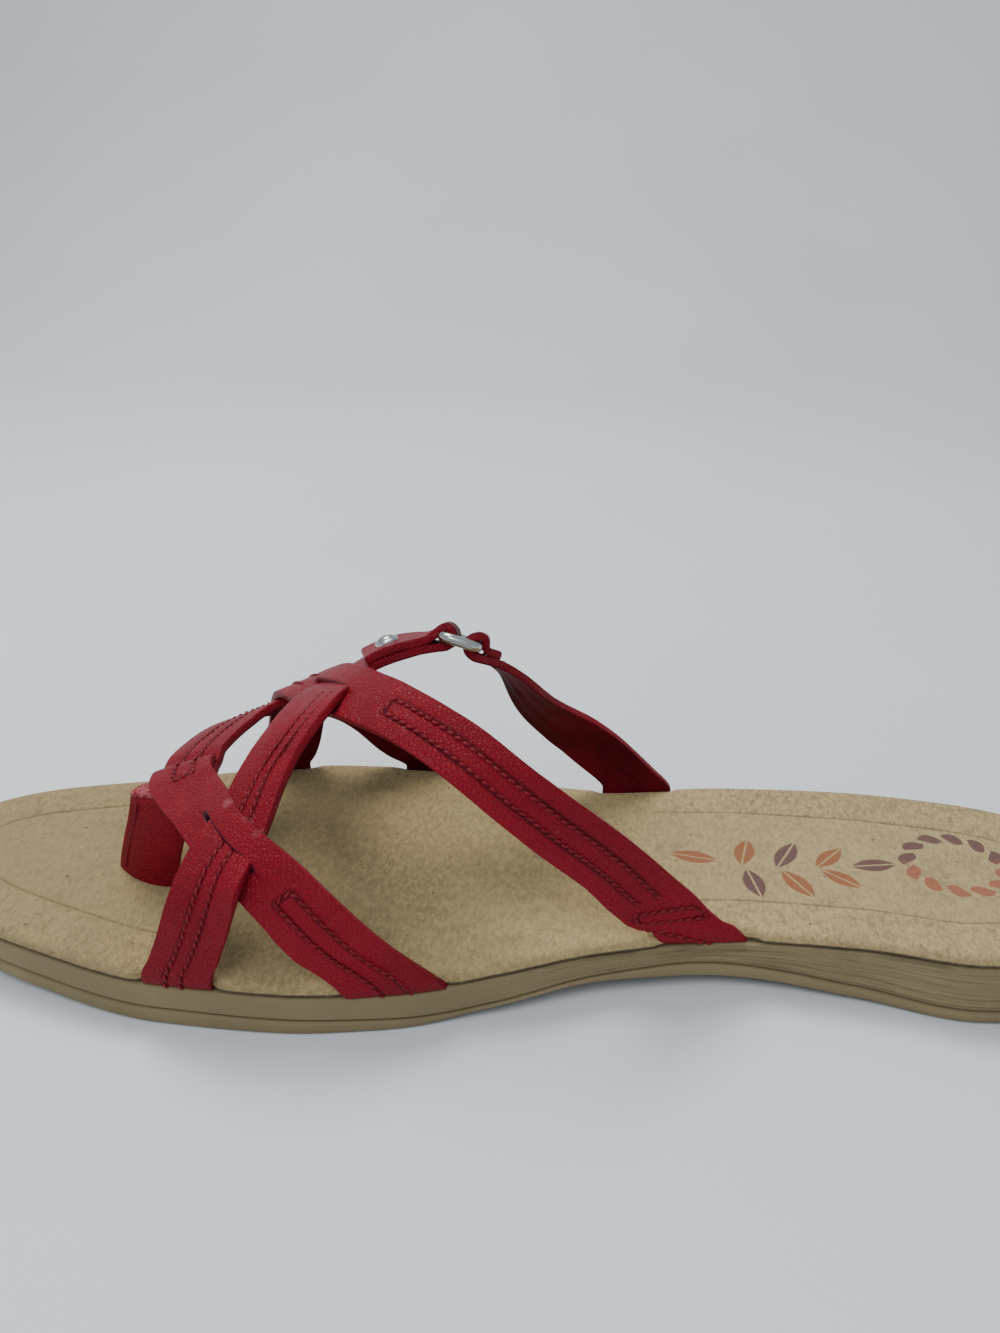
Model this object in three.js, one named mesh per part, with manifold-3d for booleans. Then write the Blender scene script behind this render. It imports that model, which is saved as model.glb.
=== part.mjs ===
// A woman's strappy sandal for the right foot: a moulded outsole, a suede footbed, a leather upper of
// straps that pass through each other, and a ring that joins the long strap to the rear strap.
// Millimetres. +X runs from toe to heel, +Y to the outer side of the foot and +Z up. The origin lies
// on the floor under the middle of the shoe's box.
import * as THREE from "three";
import { mergeVertices } from "three/addons/utils/BufferGeometryUtils.js";
import Module from "manifold-3d";

const wasm = await Module();
wasm.setup();

// Sole sizes
const length = 280;
const ballWidth = 92;
const waistWidth = 64;
const heelWidth = 63;
const ballThickness = 10;
const heelThickness = 15;
const toeSpring = 6.9;
const archLift = 4;
const lateralArch = 0.4;
const grooveDepth = 0.9;
const ribDepth = 0.35;
const ribCount = 4;
const edgeRound = 0.9;

// Footbed sizes
const footbedThickness = 2.8;
const heelCup = 1.1;

// Strap sizes
const strapWidth = 14.6;
const strapThickness = 2;
const strapInset = 2.2;
const instepHeight = 68;
const tailLength = 9;
const tailBend = 2;
const longFold = 21;
const rearFold = 8;
const settleLength = 10;
const toePostWidth = 15;
const toePostThickness = 4;

// Metal sizes
const ringMargin = 1.7;
const ringOpening = 5.6;
const wireDiameter = 2.4;
const snapDiameter = 7;
const snapHeight = 1.5;

// Fits
const clearance = 0.3;
const layerOverlap = 0.15;
const layerStep = strapThickness - layerOverlap;

// Half widths of the sole as shares of the width named in the last column, from the shoe's axis
const outlineRows = [
  { along: 0, medial: 0.065, lateral: -0.065, width: ballWidth },
  { along: 0.036, medial: 0.25, lateral: 0.174, width: ballWidth },
  { along: 0.071, medial: 0.32, lateral: 0.245, width: ballWidth },
  { along: 0.143, medial: 0.41, lateral: 0.315, width: ballWidth },
  { along: 0.25, medial: 0.489, lateral: 0.432, width: ballWidth },
  { along: 0.34, medial: 0.504, lateral: 0.484, width: ballWidth },
  { along: 0.41, medial: 0.482, lateral: 0.489, width: ballWidth },
  { along: 0.5, medial: 0.411, lateral: 0.432, width: ballWidth },
  { along: 0.59, medial: 0.473, lateral: 0.575, width: waistWidth },
  { along: 0.68, medial: 0.414, lateral: 0.578, width: waistWidth },
  { along: 0.77, medial: 0.463, lateral: 0.532, width: heelWidth },
  { along: 0.857, medial: 0.546, lateral: 0.452, width: heelWidth },
  { along: 0.93, medial: 0.52, lateral: 0.354, width: heelWidth },
  { along: 1, medial: 0.087, lateral: -0.087, width: heelWidth },
];

// Sole from the side: spring and lift raise its underside, ball and heel give its thickness, and
// groove is the height of the groove round its side, all as shares of the sizes of those names
const profileRows = [
  { along: 0, spring: 1, lift: 0, ball: 0.66, heel: 0, groove: 0.38 },
  { along: 0.07, spring: 0.52, lift: 0, ball: 0.84, heel: 0, groove: 0.38 },
  { along: 0.143, spring: 0.24, lift: 0, ball: 0.97, heel: 0, groove: 0.38 },
  { along: 0.25, spring: 0, lift: 0, ball: 1, heel: 0, groove: 0.4 },
  { along: 0.34, spring: 0, lift: 0, ball: 0.95, heel: 0, groove: 0.38 },
  { along: 0.43, spring: 0, lift: 0, ball: 0.89, heel: 0, groove: 0.3 },
  { along: 0.5, spring: 0, lift: 0.55, ball: 0.77, heel: 0, groove: 0.16 },
  { along: 0.571, spring: 0, lift: 1, ball: 0.7, heel: 0, groove: 0.26 },
  { along: 0.64, spring: 0, lift: 0.85, ball: 0.83, heel: 0, groove: 0.42 },
  { along: 0.714, spring: 0, lift: 0.55, ball: 0, heel: 0.68, groove: 0.33 },
  { along: 0.77, spring: 0, lift: 0.2, ball: 0, heel: 0.83, groove: 0.26 },
  { along: 0.83, spring: 0, lift: 0, ball: 0, heel: 0.94, groove: 0.22 },
  { along: 0.94, spring: 0, lift: 0, ball: 0, heel: 1, groove: 0.22 },
  { along: 1, spring: 0, lift: 0.22, ball: 0, heel: 0.96, groove: 0.22 },
];

// The last over the footbed: height is a share of instepHeight, and fullness is the power of the
// rounded section, 2 for an ellipse and more for a flatter top
const lastRows = [
  { along: 0.1, height: 0.2, fullness: 2.8 },
  { along: 0.16, height: 0.26, fullness: 2.8 },
  { along: 0.215, height: 0.325, fullness: 2.7 },
  { along: 0.27, height: 0.41, fullness: 2.6 },
  { along: 0.32, height: 0.52, fullness: 2.5 },
  { along: 0.375, height: 0.655, fullness: 2.4 },
  { along: 0.43, height: 0.77, fullness: 2.3 },
  { along: 0.48, height: 0.85, fullness: 2.2 },
  { along: 0.54, height: 0.92, fullness: 2.2 },
  { along: 0.6, height: 0.97, fullness: 2.2 },
  { along: 0.72, height: 1, fullness: 2.2 },
];

// Strap routes over the last. along is a share of the length; across is in degrees round the
// section, from -90 at the medial edge over 0 at the top to 90 at the lateral edge; layer is the
// height over the last in strap layers; slant is how far a section turns to lie along the sole's
// edge, ringward how far it turns to the ring's long axis, and share its width as a share of
// strapWidth. edge rows are where a strap turns in under the footbed.
const frontBandRows = [
  { edge: -1, along: 0.427, share: 1.36 },
  { along: 0.404, across: -86, layer: 0, slant: 1, share: 1.34 },
  { along: 0.38, across: -82, layer: 0, slant: 0.75, share: 1.24 },
  { along: 0.352, across: -70, layer: 0.1, slant: 0.35, share: 1.08 },
  { along: 0.331, across: -60, layer: 0.4 },
  { along: 0.302, across: -46, layer: 0.5 },
  { along: 0.272, across: -27, layer: 0.2 },
  { along: 0.252, across: -15, layer: 0 },
  { along: 0.241, across: -6, layer: 0 },
  { along: 0.244, across: 3, layer: 0 },
  { along: 0.256, across: 17, layer: 0 },
  { along: 0.276, across: 32, layer: 0 },
  { along: 0.304, across: 47, layer: 0 },
  { along: 0.338, across: 61, layer: 0, slant: 0.3, share: 1.06 },
  { along: 0.372, across: 75, layer: 0, slant: 0.7, share: 1.2 },
  { along: 0.4, across: 86, layer: 0, slant: 1, share: 1.3 },
  { edge: 1, along: 0.424, share: 1.3 },
];

const crossStrapRows = [
  { edge: -1, along: 0.659, share: 1.24 },
  { along: 0.634, across: -88, layer: 0, slant: 1, share: 1.24 },
  { along: 0.607, across: -85, layer: 0, slant: 0.75, share: 1.2 },
  { along: 0.575, across: -77, layer: 0, slant: 0.4, share: 1.1 },
  { along: 0.537, across: -66, layer: 0 },
  { along: 0.502, across: -55, layer: 0 },
  { along: 0.469, across: -43, layer: 0 },
  { along: 0.445, across: -34, layer: 0 },
  { along: 0.425, across: -26, layer: 0.1 },
  { along: 0.404, across: -17, layer: 0.3 },
  { along: 0.383, across: -7, layer: 0.5 },
  { along: 0.358, across: 4, layer: 0.5 },
  { along: 0.338, across: 14, layer: 0.6 },
  { along: 0.32, across: 27, layer: 1 },
  { along: 0.307, across: 41, layer: 1 },
  { along: 0.297, across: 55, layer: 0.8 },
  { along: 0.288, across: 70, layer: 0.2, slant: 0.6 },
  { along: 0.278, across: 85, layer: 0, slant: 1 },
  { edge: 1, along: 0.268, share: 1.05 },
];

const longStrapRows = [
  { edge: -1, along: 0.266, share: 1.03 },
  { along: 0.276, across: -84, layer: 0, slant: 1 },
  { along: 0.289, across: -68, layer: 0.7, slant: 0.5 },
  { along: 0.297, across: -57, layer: 1.3 },
  { along: 0.302, across: -50, layer: 1.3 },
  { along: 0.306, across: -43, layer: 0.1 },
  { along: 0.31, across: -36, layer: -0.4 },
  { along: 0.316, across: -27, layer: 0 },
  { along: 0.324, across: -18, layer: 0.6 },
  { along: 0.334, across: -10, layer: 1.2 },
  { along: 0.345, across: -4, layer: 1.4 },
  { along: 0.355, across: 1, layer: 0.9 },
  { along: 0.364, across: 6, layer: -0.2 },
  { along: 0.376, across: 10, layer: -0.3 },
  { along: 0.396, across: 11, layer: -0.3 },
  { along: 0.416, across: 12, layer: -0.7 },
];

const rearStrapRows = [
  { edge: 1, along: 0.616, share: 1.24 },
  { along: 0.592, across: 84, layer: 0, slant: 1, share: 1.2 },
  { along: 0.567, across: 77, layer: -0.8, slant: 0.5, share: 1.02 },
  { along: 0.546, across: 72, layer: -1.7, ringward: 0.15 },
  { along: 0.521, across: 63, layer: -3.2, ringward: 0.4 },
  { along: 0.506, across: 52, layer: -4, ringward: 0.6 },
  { along: 0.49, across: 39, layer: -3.8, ringward: 0.85 },
];

// Where the ring lies on the last, how far it turns towards the outer side, and how far it tilts down
// to the rear and rolls down to the outer side
const ringPlace = { along: 0.459, across: 18, layer: -0.9, turn: 2, tilt: 32, roll: 1 };

// The toe post stands between the first and second toes; its heights are shares of the way from the
// footbed to the band that it holds, and its places are shares of the sole's length and ball width
const toePostRows = [
  { along: 0.2, across: -0.13, height: -0.16, turn: -24 },
  { along: 0.2, across: -0.13, height: 0, turn: -24 },
  { along: 0.208, across: -0.115, height: 0.36, turn: -18 },
  { along: 0.222, across: -0.09, height: 0.72, turn: -8 },
  { along: 0.238, across: -0.075, height: 1.02, turn: 0 },
];

// A curve through a table's column that never overshoots its rows
function smooth(rows, column, place = (row) => row.along) {
  const at = rows.map(place);
  const value = rows.map(column);
  const gap = at.slice(1).map((next, i) => next - at[i]);
  const rise = gap.map((step, i) => (value[i + 1] - value[i]) / step);
  const slope = at.map((_, i) => {
    if (i === 0) return rise[0];
    if (i === at.length - 1) return rise[i - 1];
    if (rise[i - 1] * rise[i] <= 0) return 0;
    const before = 2 * gap[i] + gap[i - 1];
    const after = gap[i] + 2 * gap[i - 1];
    return (before + after) / (before / rise[i - 1] + after / rise[i]);
  });
  return (x) => {
    const held = Math.min(Math.max(x, at[0]), at[at.length - 1]);
    let i = at.length - 2;
    while (i > 0 && held < at[i]) i -= 1;
    const t = (held - at[i]) / gap[i];
    const ease = t * t * (3 - 2 * t);
    const start = t * (1 - t) * (1 - t) * gap[i] * slope[i];
    const end = t * t * (1 - t) * gap[i] * slope[i + 1];
    return value[i] + (value[i + 1] - value[i]) * ease + start - end;
  };
}

// Places along the sole are spaced by the angle of a half circle, so that both ends come out round
const turnOf = (along) => Math.acos(1 - 2 * Math.min(Math.max(along, 0), 1));
const medialEdge = smooth(outlineRows, (row) => -row.medial * row.width, (row) => turnOf(row.along));
const lateralEdge = smooth(outlineRows, (row) => row.lateral * row.width, (row) => turnOf(row.along));
const grooveShare = smooth(profileRows, (row) => row.groove);
const toeRise = smooth(profileRows, (row) => toeSpring * row.spring);
const archRise = smooth(profileRows, (row) => archLift * row.lift);
const soleThickness = smooth(profileRows, (row) => ballThickness * row.ball + heelThickness * row.heel);

// The arch lifts the medial border by its full height and the lateral border by lateralArch of it
function soleBottom(along, y) {
  const turn = turnOf(along);
  const across = THREE.MathUtils.inverseLerp(medialEdge(turn), lateralEdge(turn), y);
  return toeRise(along) + archRise(along) * THREE.MathUtils.lerp(1, lateralArch, across);
}

const soleTop = (along, y) => soleBottom(along, y) + soleThickness(along);
const footbedBottom = (along, y) => soleTop(along, y) + clearance;
const footbedTop = (along, y) => footbedBottom(along, y) + footbedThickness;
const lastHeight = smooth(lastRows, (row) => row.height * instepHeight);
const lastFullness = smooth(lastRows, (row) => row.fullness);
const toX = (along) => (along - 0.5) * length;

// Plan outline: a point and its inward direction for each step, medial side first, then lateral
const outlineSteps = 48;

function outlinePlace(step) {
  const turn = (Math.PI * Math.min(step, 2 * outlineSteps - step)) / outlineSteps;
  const edge = step <= outlineSteps ? medialEdge : lateralEdge;
  const along = (1 - Math.cos(turn)) / 2;
  return { along, x: toX(along), y: edge(turn) };
}

const outline = Array.from({ length: 2 * outlineSteps }, (_, step) => {
  const count = 2 * outlineSteps;
  const before = outlinePlace((step + count - 1) % count);
  const after = outlinePlace((step + 1) % count);
  const inward = new THREE.Vector2(before.y - after.y, after.x - before.x).normalize();
  return { ...outlinePlace(step), inward };
});

// One level of a sole piece: the outline moved inwards, at a height that follows the sole
function level(inset, heightAt) {
  return outline.map(({ along, x, y, inward }) => {
    const insetY = y + inward.y * inset;
    return new THREE.Vector3(x + inward.x * inset, insetY, heightAt(along, insetY));
  });
}

// A closed mesh through levels or sections. Each end is closed across pairs of points that face
// each other, which suits a long outline and a strap's section alike.
function skin(levels, closeOnItself = false) {
  const count = levels[0].length;
  const points = levels.flat();
  const faces = [];
  const last = levels.length - 1;
  const bands = closeOnItself ? levels.length : last;
  for (let row = 0; row < bands; row += 1) {
    const low = row * count;
    const high = ((row + 1) % levels.length) * count;
    for (let i = 0; i < count; i += 1) {
      const next = (i + 1) % count;
      faces.push(low + i, low + next, high + next, low + i, high + next, high + i);
    }
  }
  if (!closeOnItself) {
    for (let i = 1; i < count / 2; i += 1) {
      const near = [i, (i + 1) % count];
      const far = [(count - i) % count, (count - i + 1) % count];
      const quads = i === 1
        ? [[0, near[0], far[0]]]
        : [[far[1], near[0], far[0]], [far[1], i - 1, near[0]]];
      if (i === count / 2 - 1) quads.push([near[0], near[1], far[0]]);
      for (const [a, b, c] of quads) {
        faces.push(a, c, b);
        faces.push(last * count + a, last * count + b, last * count + c);
      }
    }
  }
  const geometry = new THREE.BufferGeometry();
  geometry.setAttribute("position", new THREE.Float32BufferAttribute(points.flatMap((p) => p.toArray()), 3));
  geometry.setIndex(faces);
  return facingOut(geometry);
}

function facingOut(geometry) {
  const index = geometry.index.array;
  const position = geometry.attributes.position;
  const corner = (i) => new THREE.Vector3().fromBufferAttribute(position, index[i]);
  let volume = 0;
  for (let i = 0; i < index.length; i += 3) {
    volume += corner(i).dot(corner(i + 1).cross(corner(i + 2)));
  }
  if (volume < 0) {
    for (let i = 0; i < index.length; i += 3) {
      [index[i + 1], index[i + 2]] = [index[i + 2], index[i + 1]];
    }
  }
  return geometry;
}

function toSolid(geometry) {
  const bare = geometry.clone();
  for (const name of Object.keys(bare.attributes)) {
    if (name !== "position") bare.deleteAttribute(name);
  }
  const merged = mergeVertices(bare, 1e-4);
  return new wasm.Manifold(new wasm.Mesh({
    numProp: 3,
    vertProperties: new Float32Array(merged.attributes.position.array),
    triVerts: new Uint32Array(merged.index.array),
  }));
}

function toGeometry(solid) {
  const mesh = solid.getMesh();
  const geometry = new THREE.BufferGeometry();
  geometry.setAttribute("position", new THREE.Float32BufferAttribute(mesh.vertProperties, 3));
  geometry.setIndex(Array.from(mesh.triVerts));
  return geometry;
}

// The body of a cut or joined piece, without the crumbs that a cut along a ridge can leave
function mainBody(solid) {
  const volume = (body) => (body.volume ? body.volume() : body.getProperties().volume);
  return solid.decompose().sort((a, b) => volume(b) - volume(a))[0];
}

const joined = (geometries) => geometries.map(toSolid).reduce((whole, piece) => whole.add(piece));

// A point on the last with the direction that faces out of it
function onLast(along, across) {
  const held = THREE.MathUtils.clamp(across, -89, 89);
  const surface = (s, degrees) => {
    const turn = turnOf(s);
    const near = medialEdge(turn) + strapInset;
    const far = lateralEdge(turn) - strapInset;
    const angle = THREE.MathUtils.degToRad(degrees);
    const power = 2 / lastFullness(s);
    const sideways = Math.sign(angle) * Math.abs(Math.sin(angle)) ** power;
    const y = (near + far) / 2 + ((far - near) / 2) * sideways;
    return new THREE.Vector3(toX(s), y, footbedTop(s, y) + lastHeight(s) * Math.cos(angle) ** power);
  };
  const stepAlong = surface(along + 0.004, held).sub(surface(along - 0.004, held));
  const stepAcross = surface(along, held + 0.9).sub(surface(along, held - 0.9));
  return { point: surface(along, held), normal: stepAlong.cross(stepAcross).normalize() };
}

// A point of the sole's plan outline and the direction along it, for side -1 medial or 1 lateral
function onEdge(side, along) {
  const edge = side < 0 ? medialEdge : lateralEdge;
  const at = (s) => new THREE.Vector3(toX(s), edge(turnOf(s)), 0);
  return { spot: at(along), direction: at(along + 0.01).sub(at(along - 0.01)).normalize() };
}

// Knots of a strap's middle sheet. Those on the last hold their normal, and those at the sole's edge
// hold the direction along the edge, with which the strap's cut end lines up.
function knotOnLast(row) {
  const { point, normal } = onLast(row.along, row.across);
  const height = row.layer * layerStep + strapThickness / 2;
  return {
    point: point.addScaledVector(normal, height),
    normal,
    slant: row.slant ?? 0,
    edgeDirection: onEdge(row.across, row.along).direction,
    ringward: row.ringward ?? 0,
    width: strapWidth * (row.share ?? 1),
  };
}

function knotsAtEdge(row) {
  const { spot, direction: sideways } = onEdge(row.edge, row.along);
  const inward = new THREE.Vector3(-sideways.y, sideways.x, 0).multiplyScalar(-row.edge);
  const width = strapWidth * row.share;
  const hold = strapInset - strapThickness / 2;
  const jointHeight = soleTop(row.along, spot.y) + clearance / 2;
  const place = (depth, height) => ({
    point: spot.clone().addScaledVector(inward, hold + depth).setZ(jointHeight + height),
    sideways,
    width,
    mayFlip: true,
  });
  const knots = [place(0, footbedThickness + 1), place(0, tailBend)];
  for (const degrees of [30, 60, 90]) {
    const angle = THREE.MathUtils.degToRad(degrees);
    knots.push(place(tailBend * (1 - Math.cos(angle)), tailBend * (1 - Math.sin(angle))));
  }
  knots.push(place(tailBend + tailLength, 0));
  return knots;
}

function strapKnots(rows) {
  const first = rows[0].edge ? knotsAtEdge(rows[0]).reverse() : [];
  const end = rows[rows.length - 1];
  const last = end.edge ? knotsAtEdge(end) : [];
  return [...first, ...rows.filter((row) => !row.edge).map(knotOnLast), ...last];
}

// Gives each knot the direction of the strap's width, turned the same way from end to end. Where a
// strap nears the sole at a slant, its sections turn to lie along the sole's edge, and where one
// nears the ring they turn to its long axis.
function withSideways(knots) {
  const done = knots.map((knot, i) => {
    if (knot.sideways) return { ...knot };
    const before = knots[Math.max(i - 1, 0)].point;
    const after = knots[Math.min(i + 1, knots.length - 1)].point;
    const square = after.clone().sub(before).cross(knot.normal).normalize();
    const along = knot.edgeDirection.clone().multiplyScalar(Math.sign(knot.edgeDirection.dot(square)));
    const sideways = square.lerp(along, knot.slant).lerp(ringAt.long, knot.ringward).normalize();
    return { ...knot, sideways };
  });
  const guide = done.find((knot) => knot.normal) ?? done[0];
  for (const knot of done) {
    if (knot.mayFlip && knot.sideways.dot(guide.sideways) < 0) {
      knot.sideways = knot.sideways.clone().negate();
    }
  }
  return done;
}

// The frame of a strap at a place between its knots: its middle, the direction of its width, the
// direction out of its face and its width there
function strapPath(knots) {
  const ready = withSideways(knots);
  const spans = ready.length - 1;
  const curve = new THREE.CatmullRomCurve3(ready.map((knot) => knot.point), false, "centripetal");
  const frame = (place) => {
    const i = Math.min(Math.floor(place), spans - 1);
    const run = curve.getTangent(place / spans);
    const wide = ready[i].sideways.clone().lerp(ready[i + 1].sideways, place - i).normalize();
    return {
      run,
      wide,
      out: wide.clone().cross(run).normalize(),
      middle: curve.getPoint(place / spans),
      width: THREE.MathUtils.lerp(ready[i].width, ready[i + 1].width, place - i),
    };
  };
  const spanLength = (i) => ready[i].point.distanceTo(ready[i + 1].point);
  const placeBefore = (distance) => spans * curve.getUtoTmapping(1 - distance / curve.getLength());
  return { spans, frame, spanLength, placeBefore };
}

// A strap of leather swept through its knots, with its long edges taken off. grown is the clearance
// that a pocket for it has all round, twice as much at its edges, where a slanting strap needs it.
function strap(knots, thickness = strapThickness, grown = 0) {
  const path = strapPath(knots);
  const roundOff = thickness * 0.3;
  const halfThick = thickness / 2 + grown;
  const section = (place, push) => {
    const { run, wide, out, middle, width } = path.frame(place);
    const half = width / 2 + 2 * grown;
    const corners = [
      [half, halfThick - roundOff], [half - roundOff, halfThick],
      [roundOff - half, halfThick], [-half, halfThick - roundOff],
      [-half, roundOff - halfThick], [roundOff - half, -halfThick],
      [half - roundOff, -halfThick], [half, roundOff - halfThick],
    ];
    return corners.map(([side, up]) => (
      middle.clone().addScaledVector(run, push).addScaledVector(wide, side).addScaledVector(out, up)
    ));
  };
  const sections = [];
  const stepLength = 4.4;
  for (let i = 0; i < path.spans; i += 1) {
    const steps = Math.max(1, Math.round(path.spanLength(i) / stepLength));
    for (let j = 0; j < steps; j += 1) sections.push(section(i + j / steps, i + j === 0 ? -grown : 0));
  }
  sections.push(section(path.spans, grown));
  return skin(sections);
}

// The ring lies on the last between the long strap and the rear strap. Its long axis is the
// direction of both straps' width, and run leads from its front bar to its rear bar.
function ringFrame() {
  const { point, normal } = onLast(ringPlace.along, ringPlace.across);
  const run = new THREE.Vector3(1, 0, 0).addScaledVector(normal, -normal.x).normalize();
  run.applyAxisAngle(normal, THREE.MathUtils.degToRad(ringPlace.turn));
  const long = normal.clone().cross(run).normalize();
  const up = normal.clone();
  for (const axis of [up, run]) axis.applyAxisAngle(long, THREE.MathUtils.degToRad(ringPlace.tilt));
  for (const axis of [up, long]) axis.applyAxisAngle(run, THREE.MathUtils.degToRad(ringPlace.roll));
  return { centre: point.addScaledVector(up, ringPlace.layer * layerStep), run, long, up };
}

const ringAt = ringFrame();
const halfOpening = (ringOpening + wireDiameter) / 2;

// Knots of a strap's turn round a bar of the ring: it comes in below the bar, runs through the ring
// and goes back over the bar
function turnRoundBar(barSide) {
  const radius = wireDiameter / 2 + clearance + strapThickness / 2;
  const bar = ringAt.centre.clone().addScaledVector(ringAt.run, barSide * halfOpening);
  return (degrees) => {
    const angle = THREE.MathUtils.degToRad(degrees);
    const spot = bar.clone()
      .addScaledVector(ringAt.up, -radius * Math.cos(angle))
      .addScaledVector(ringAt.run, -barSide * radius * Math.sin(angle));
    return { point: spot, sideways: ringAt.long.clone().multiplyScalar(barSide), width: strapWidth };
  };
}

// A strap that ends round a bar of the ring, with the layer folded back over it
function foldedStrap(rows, barSide, foldLength) {
  const turn = turnRoundBar(barSide);
  const knots = [...strapKnots(rows), turn(0)];
  const path = strapPath(knots);
  const main = strap([...knots, ...[30, 60, 90, 120].map(turn)]);
  const back = [90, 120, 150, 180].map(turn);
  const liftAtBar = wireDiameter + 2 * clearance + strapThickness;
  const foldSteps = 6;
  for (let i = 1; i <= foldSteps; i += 1) {
    const distance = (i / foldSteps) * foldLength;
    const { middle, wide, out } = path.frame(path.placeBefore(distance));
    const settled = THREE.MathUtils.smoothstep(distance, wireDiameter / 2, settleLength);
    const lift = THREE.MathUtils.lerp(liftAtBar, layerStep, settled);
    back.push({ point: middle.addScaledVector(out, lift), sideways: wide, width: strapWidth });
  }
  return { solid: joined([main, strap(back)]), back };
}

// The upper's straps
const longStrap = foldedStrap(longStrapRows, -1, longFold);
const rearStrap = foldedStrap(rearStrapRows, 1, rearFold);

function toePostKnots() {
  const bandHeight = onLast(0.241, -6).point.z + strapThickness / 2;
  return toePostRows.map((row) => {
    const turn = THREE.MathUtils.degToRad(row.turn);
    const y = row.across * ballWidth;
    const height = THREE.MathUtils.lerp(footbedTop(row.along, y), bandHeight, row.height);
    return {
      point: new THREE.Vector3(toX(row.along), y, height),
      sideways: new THREE.Vector3(Math.cos(turn), Math.sin(turn), 0),
      width: toePostWidth,
    };
  });
}

const upperSolid = mainBody(longStrap.solid.add(joined([
  strap(strapKnots(frontBandRows)),
  strap(strapKnots(crossStrapRows)),
  strap(toePostKnots(), toePostThickness),
])));

// Pockets for the strap ends between the outsole and the footbed, and the toe post's slot
function tailPockets() {
  const tails = [frontBandRows, crossStrapRows, longStrapRows, rearStrapRows].flatMap((rows) => {
    const ends = [rows.slice(0, 4), rows.slice(-4).reverse()];
    return ends.filter(([end]) => end.edge).map((end) => strap(strapKnots(end), strapThickness, clearance));
  });
  return joined([...tails, strap(toePostKnots(), toePostThickness, clearance)]);
}

function makeOutsole(pockets) {
  const height = (share) => (along, y) => soleBottom(along, y) + soleThickness(along) * share;
  const grooveHalf = 0.06;
  const groove = (offset) => (along, y) => height(grooveShare(along) + offset)(along, y);
  const levels = [
    level(edgeRound, height(0)),
    level(0.15, height(0.06)),
    level(0, groove(-grooveHalf)),
    level(grooveDepth, groove(-grooveHalf / 4)),
    level(grooveDepth, groove(grooveHalf / 4)),
    level(ribDepth, groove(grooveHalf)),
  ];
  const ribsTop = 0.93;
  for (let rib = 0; rib < ribCount; rib += 1) {
    const valley = (rib + 1) / (ribCount + 1);
    const between = (share) => (along, y) => {
      const foot = grooveShare(along) + grooveHalf;
      return height(foot + (ribsTop - foot) * share)(along, y);
    };
    levels.push(level(ribDepth, between(valley - 0.07)));
    levels.push(level(2 * ribDepth, between(valley)));
    levels.push(level(ribDepth, between(valley + 0.07)));
  }
  levels.push(level(ribDepth, height(ribsTop + 0.01)));
  levels.push(level(edgeRound, height(1)));
  return mainBody(toSolid(skin(levels)).subtract(pockets));
}

function makeFootbed(pockets) {
  const cup = (along) => heelCup * THREE.MathUtils.smoothstep(along, 0.55, 0.85) + heelCup * 0.25;
  const height = (share, dip = 0) => (along, y) => (
    footbedBottom(along, y) + footbedThickness * share - dip * cup(along)
  );
  const levels = [
    level(1.3, height(0)),
    level(0.5, height(0.18)),
    level(0.3, height(0.5)),
    level(0.8, height(0.84)),
    level(2.2, height(1)),
    level(9, height(1, 0.35)),
    level(16, height(1, 1)),
  ];
  return mainBody(toSolid(skin(levels)).subtract(pockets));
}

// The ring is a rounded rectangle of round wire whose long bars pass through the straps' folds
function makeRing() {
  const halfLong = strapWidth / 2 + ringMargin + wireDiameter / 2;
  const cornerRadius = ringMargin + wireDiameter / 2 - clearance;
  const arcSteps = 4;
  const wireSides = 10;
  const sections = [];
  for (const [longSide, runSide, start] of [[1, 1, 0], [-1, 1, 90], [-1, -1, 180], [1, -1, 270]]) {
    for (let i = 0; i <= arcSteps; i += 1) {
      const angle = THREE.MathUtils.degToRad(start + (90 * i) / arcSteps);
      const outward = ringAt.long.clone().multiplyScalar(Math.cos(angle))
        .addScaledVector(ringAt.run, Math.sin(angle));
      const middle = ringAt.centre.clone()
        .addScaledVector(ringAt.long, longSide * (halfLong - cornerRadius))
        .addScaledVector(ringAt.run, runSide * (halfOpening - cornerRadius))
        .addScaledVector(outward, cornerRadius);
      sections.push(Array.from({ length: wireSides }, (_, side) => {
        const round = (2 * Math.PI * side) / wireSides;
        return middle.clone()
          .addScaledVector(outward, (wireDiameter / 2) * Math.cos(round))
          .addScaledVector(ringAt.up, (wireDiameter / 2) * Math.sin(round));
      }));
    }
  }
  return skin(sections, true);
}

// A low domed snap on the folded layer, near its end
function makeSnap() {
  const folded = strapPath(longStrap.back);
  const { middle: seat, out } = folded.frame(folded.placeBefore(snapDiameter * 0.75));
  const up = out.z < 0 ? out.negate() : out;
  const radius = snapDiameter / 2;
  const dome = [[1, 0], [1, 0.25], [0.86, 0.7], [0.5, 0.95]].map(([r, h]) => [r * radius, h * snapHeight]);
  const profile = [[0, 0], ...dome, [0, snapHeight]].map(([r, h]) => new THREE.Vector2(r, h));
  const placed = new THREE.Matrix4().makeRotationFromQuaternion(
    new THREE.Quaternion().setFromUnitVectors(new THREE.Vector3(0, 1, 0), up),
  );
  placed.setPosition(seat.addScaledVector(up, strapThickness / 2 + clearance));
  return toGeometry(toSolid(new THREE.LatheGeometry(profile, 20).applyMatrix4(placed)));
}

function piece(name, geometry, color, roughness, metalness = 0) {
  const mesh = new THREE.Mesh(geometry, new THREE.MeshStandardMaterial({ color, roughness, metalness }));
  mesh.name = name;
  return mesh;
}

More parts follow.
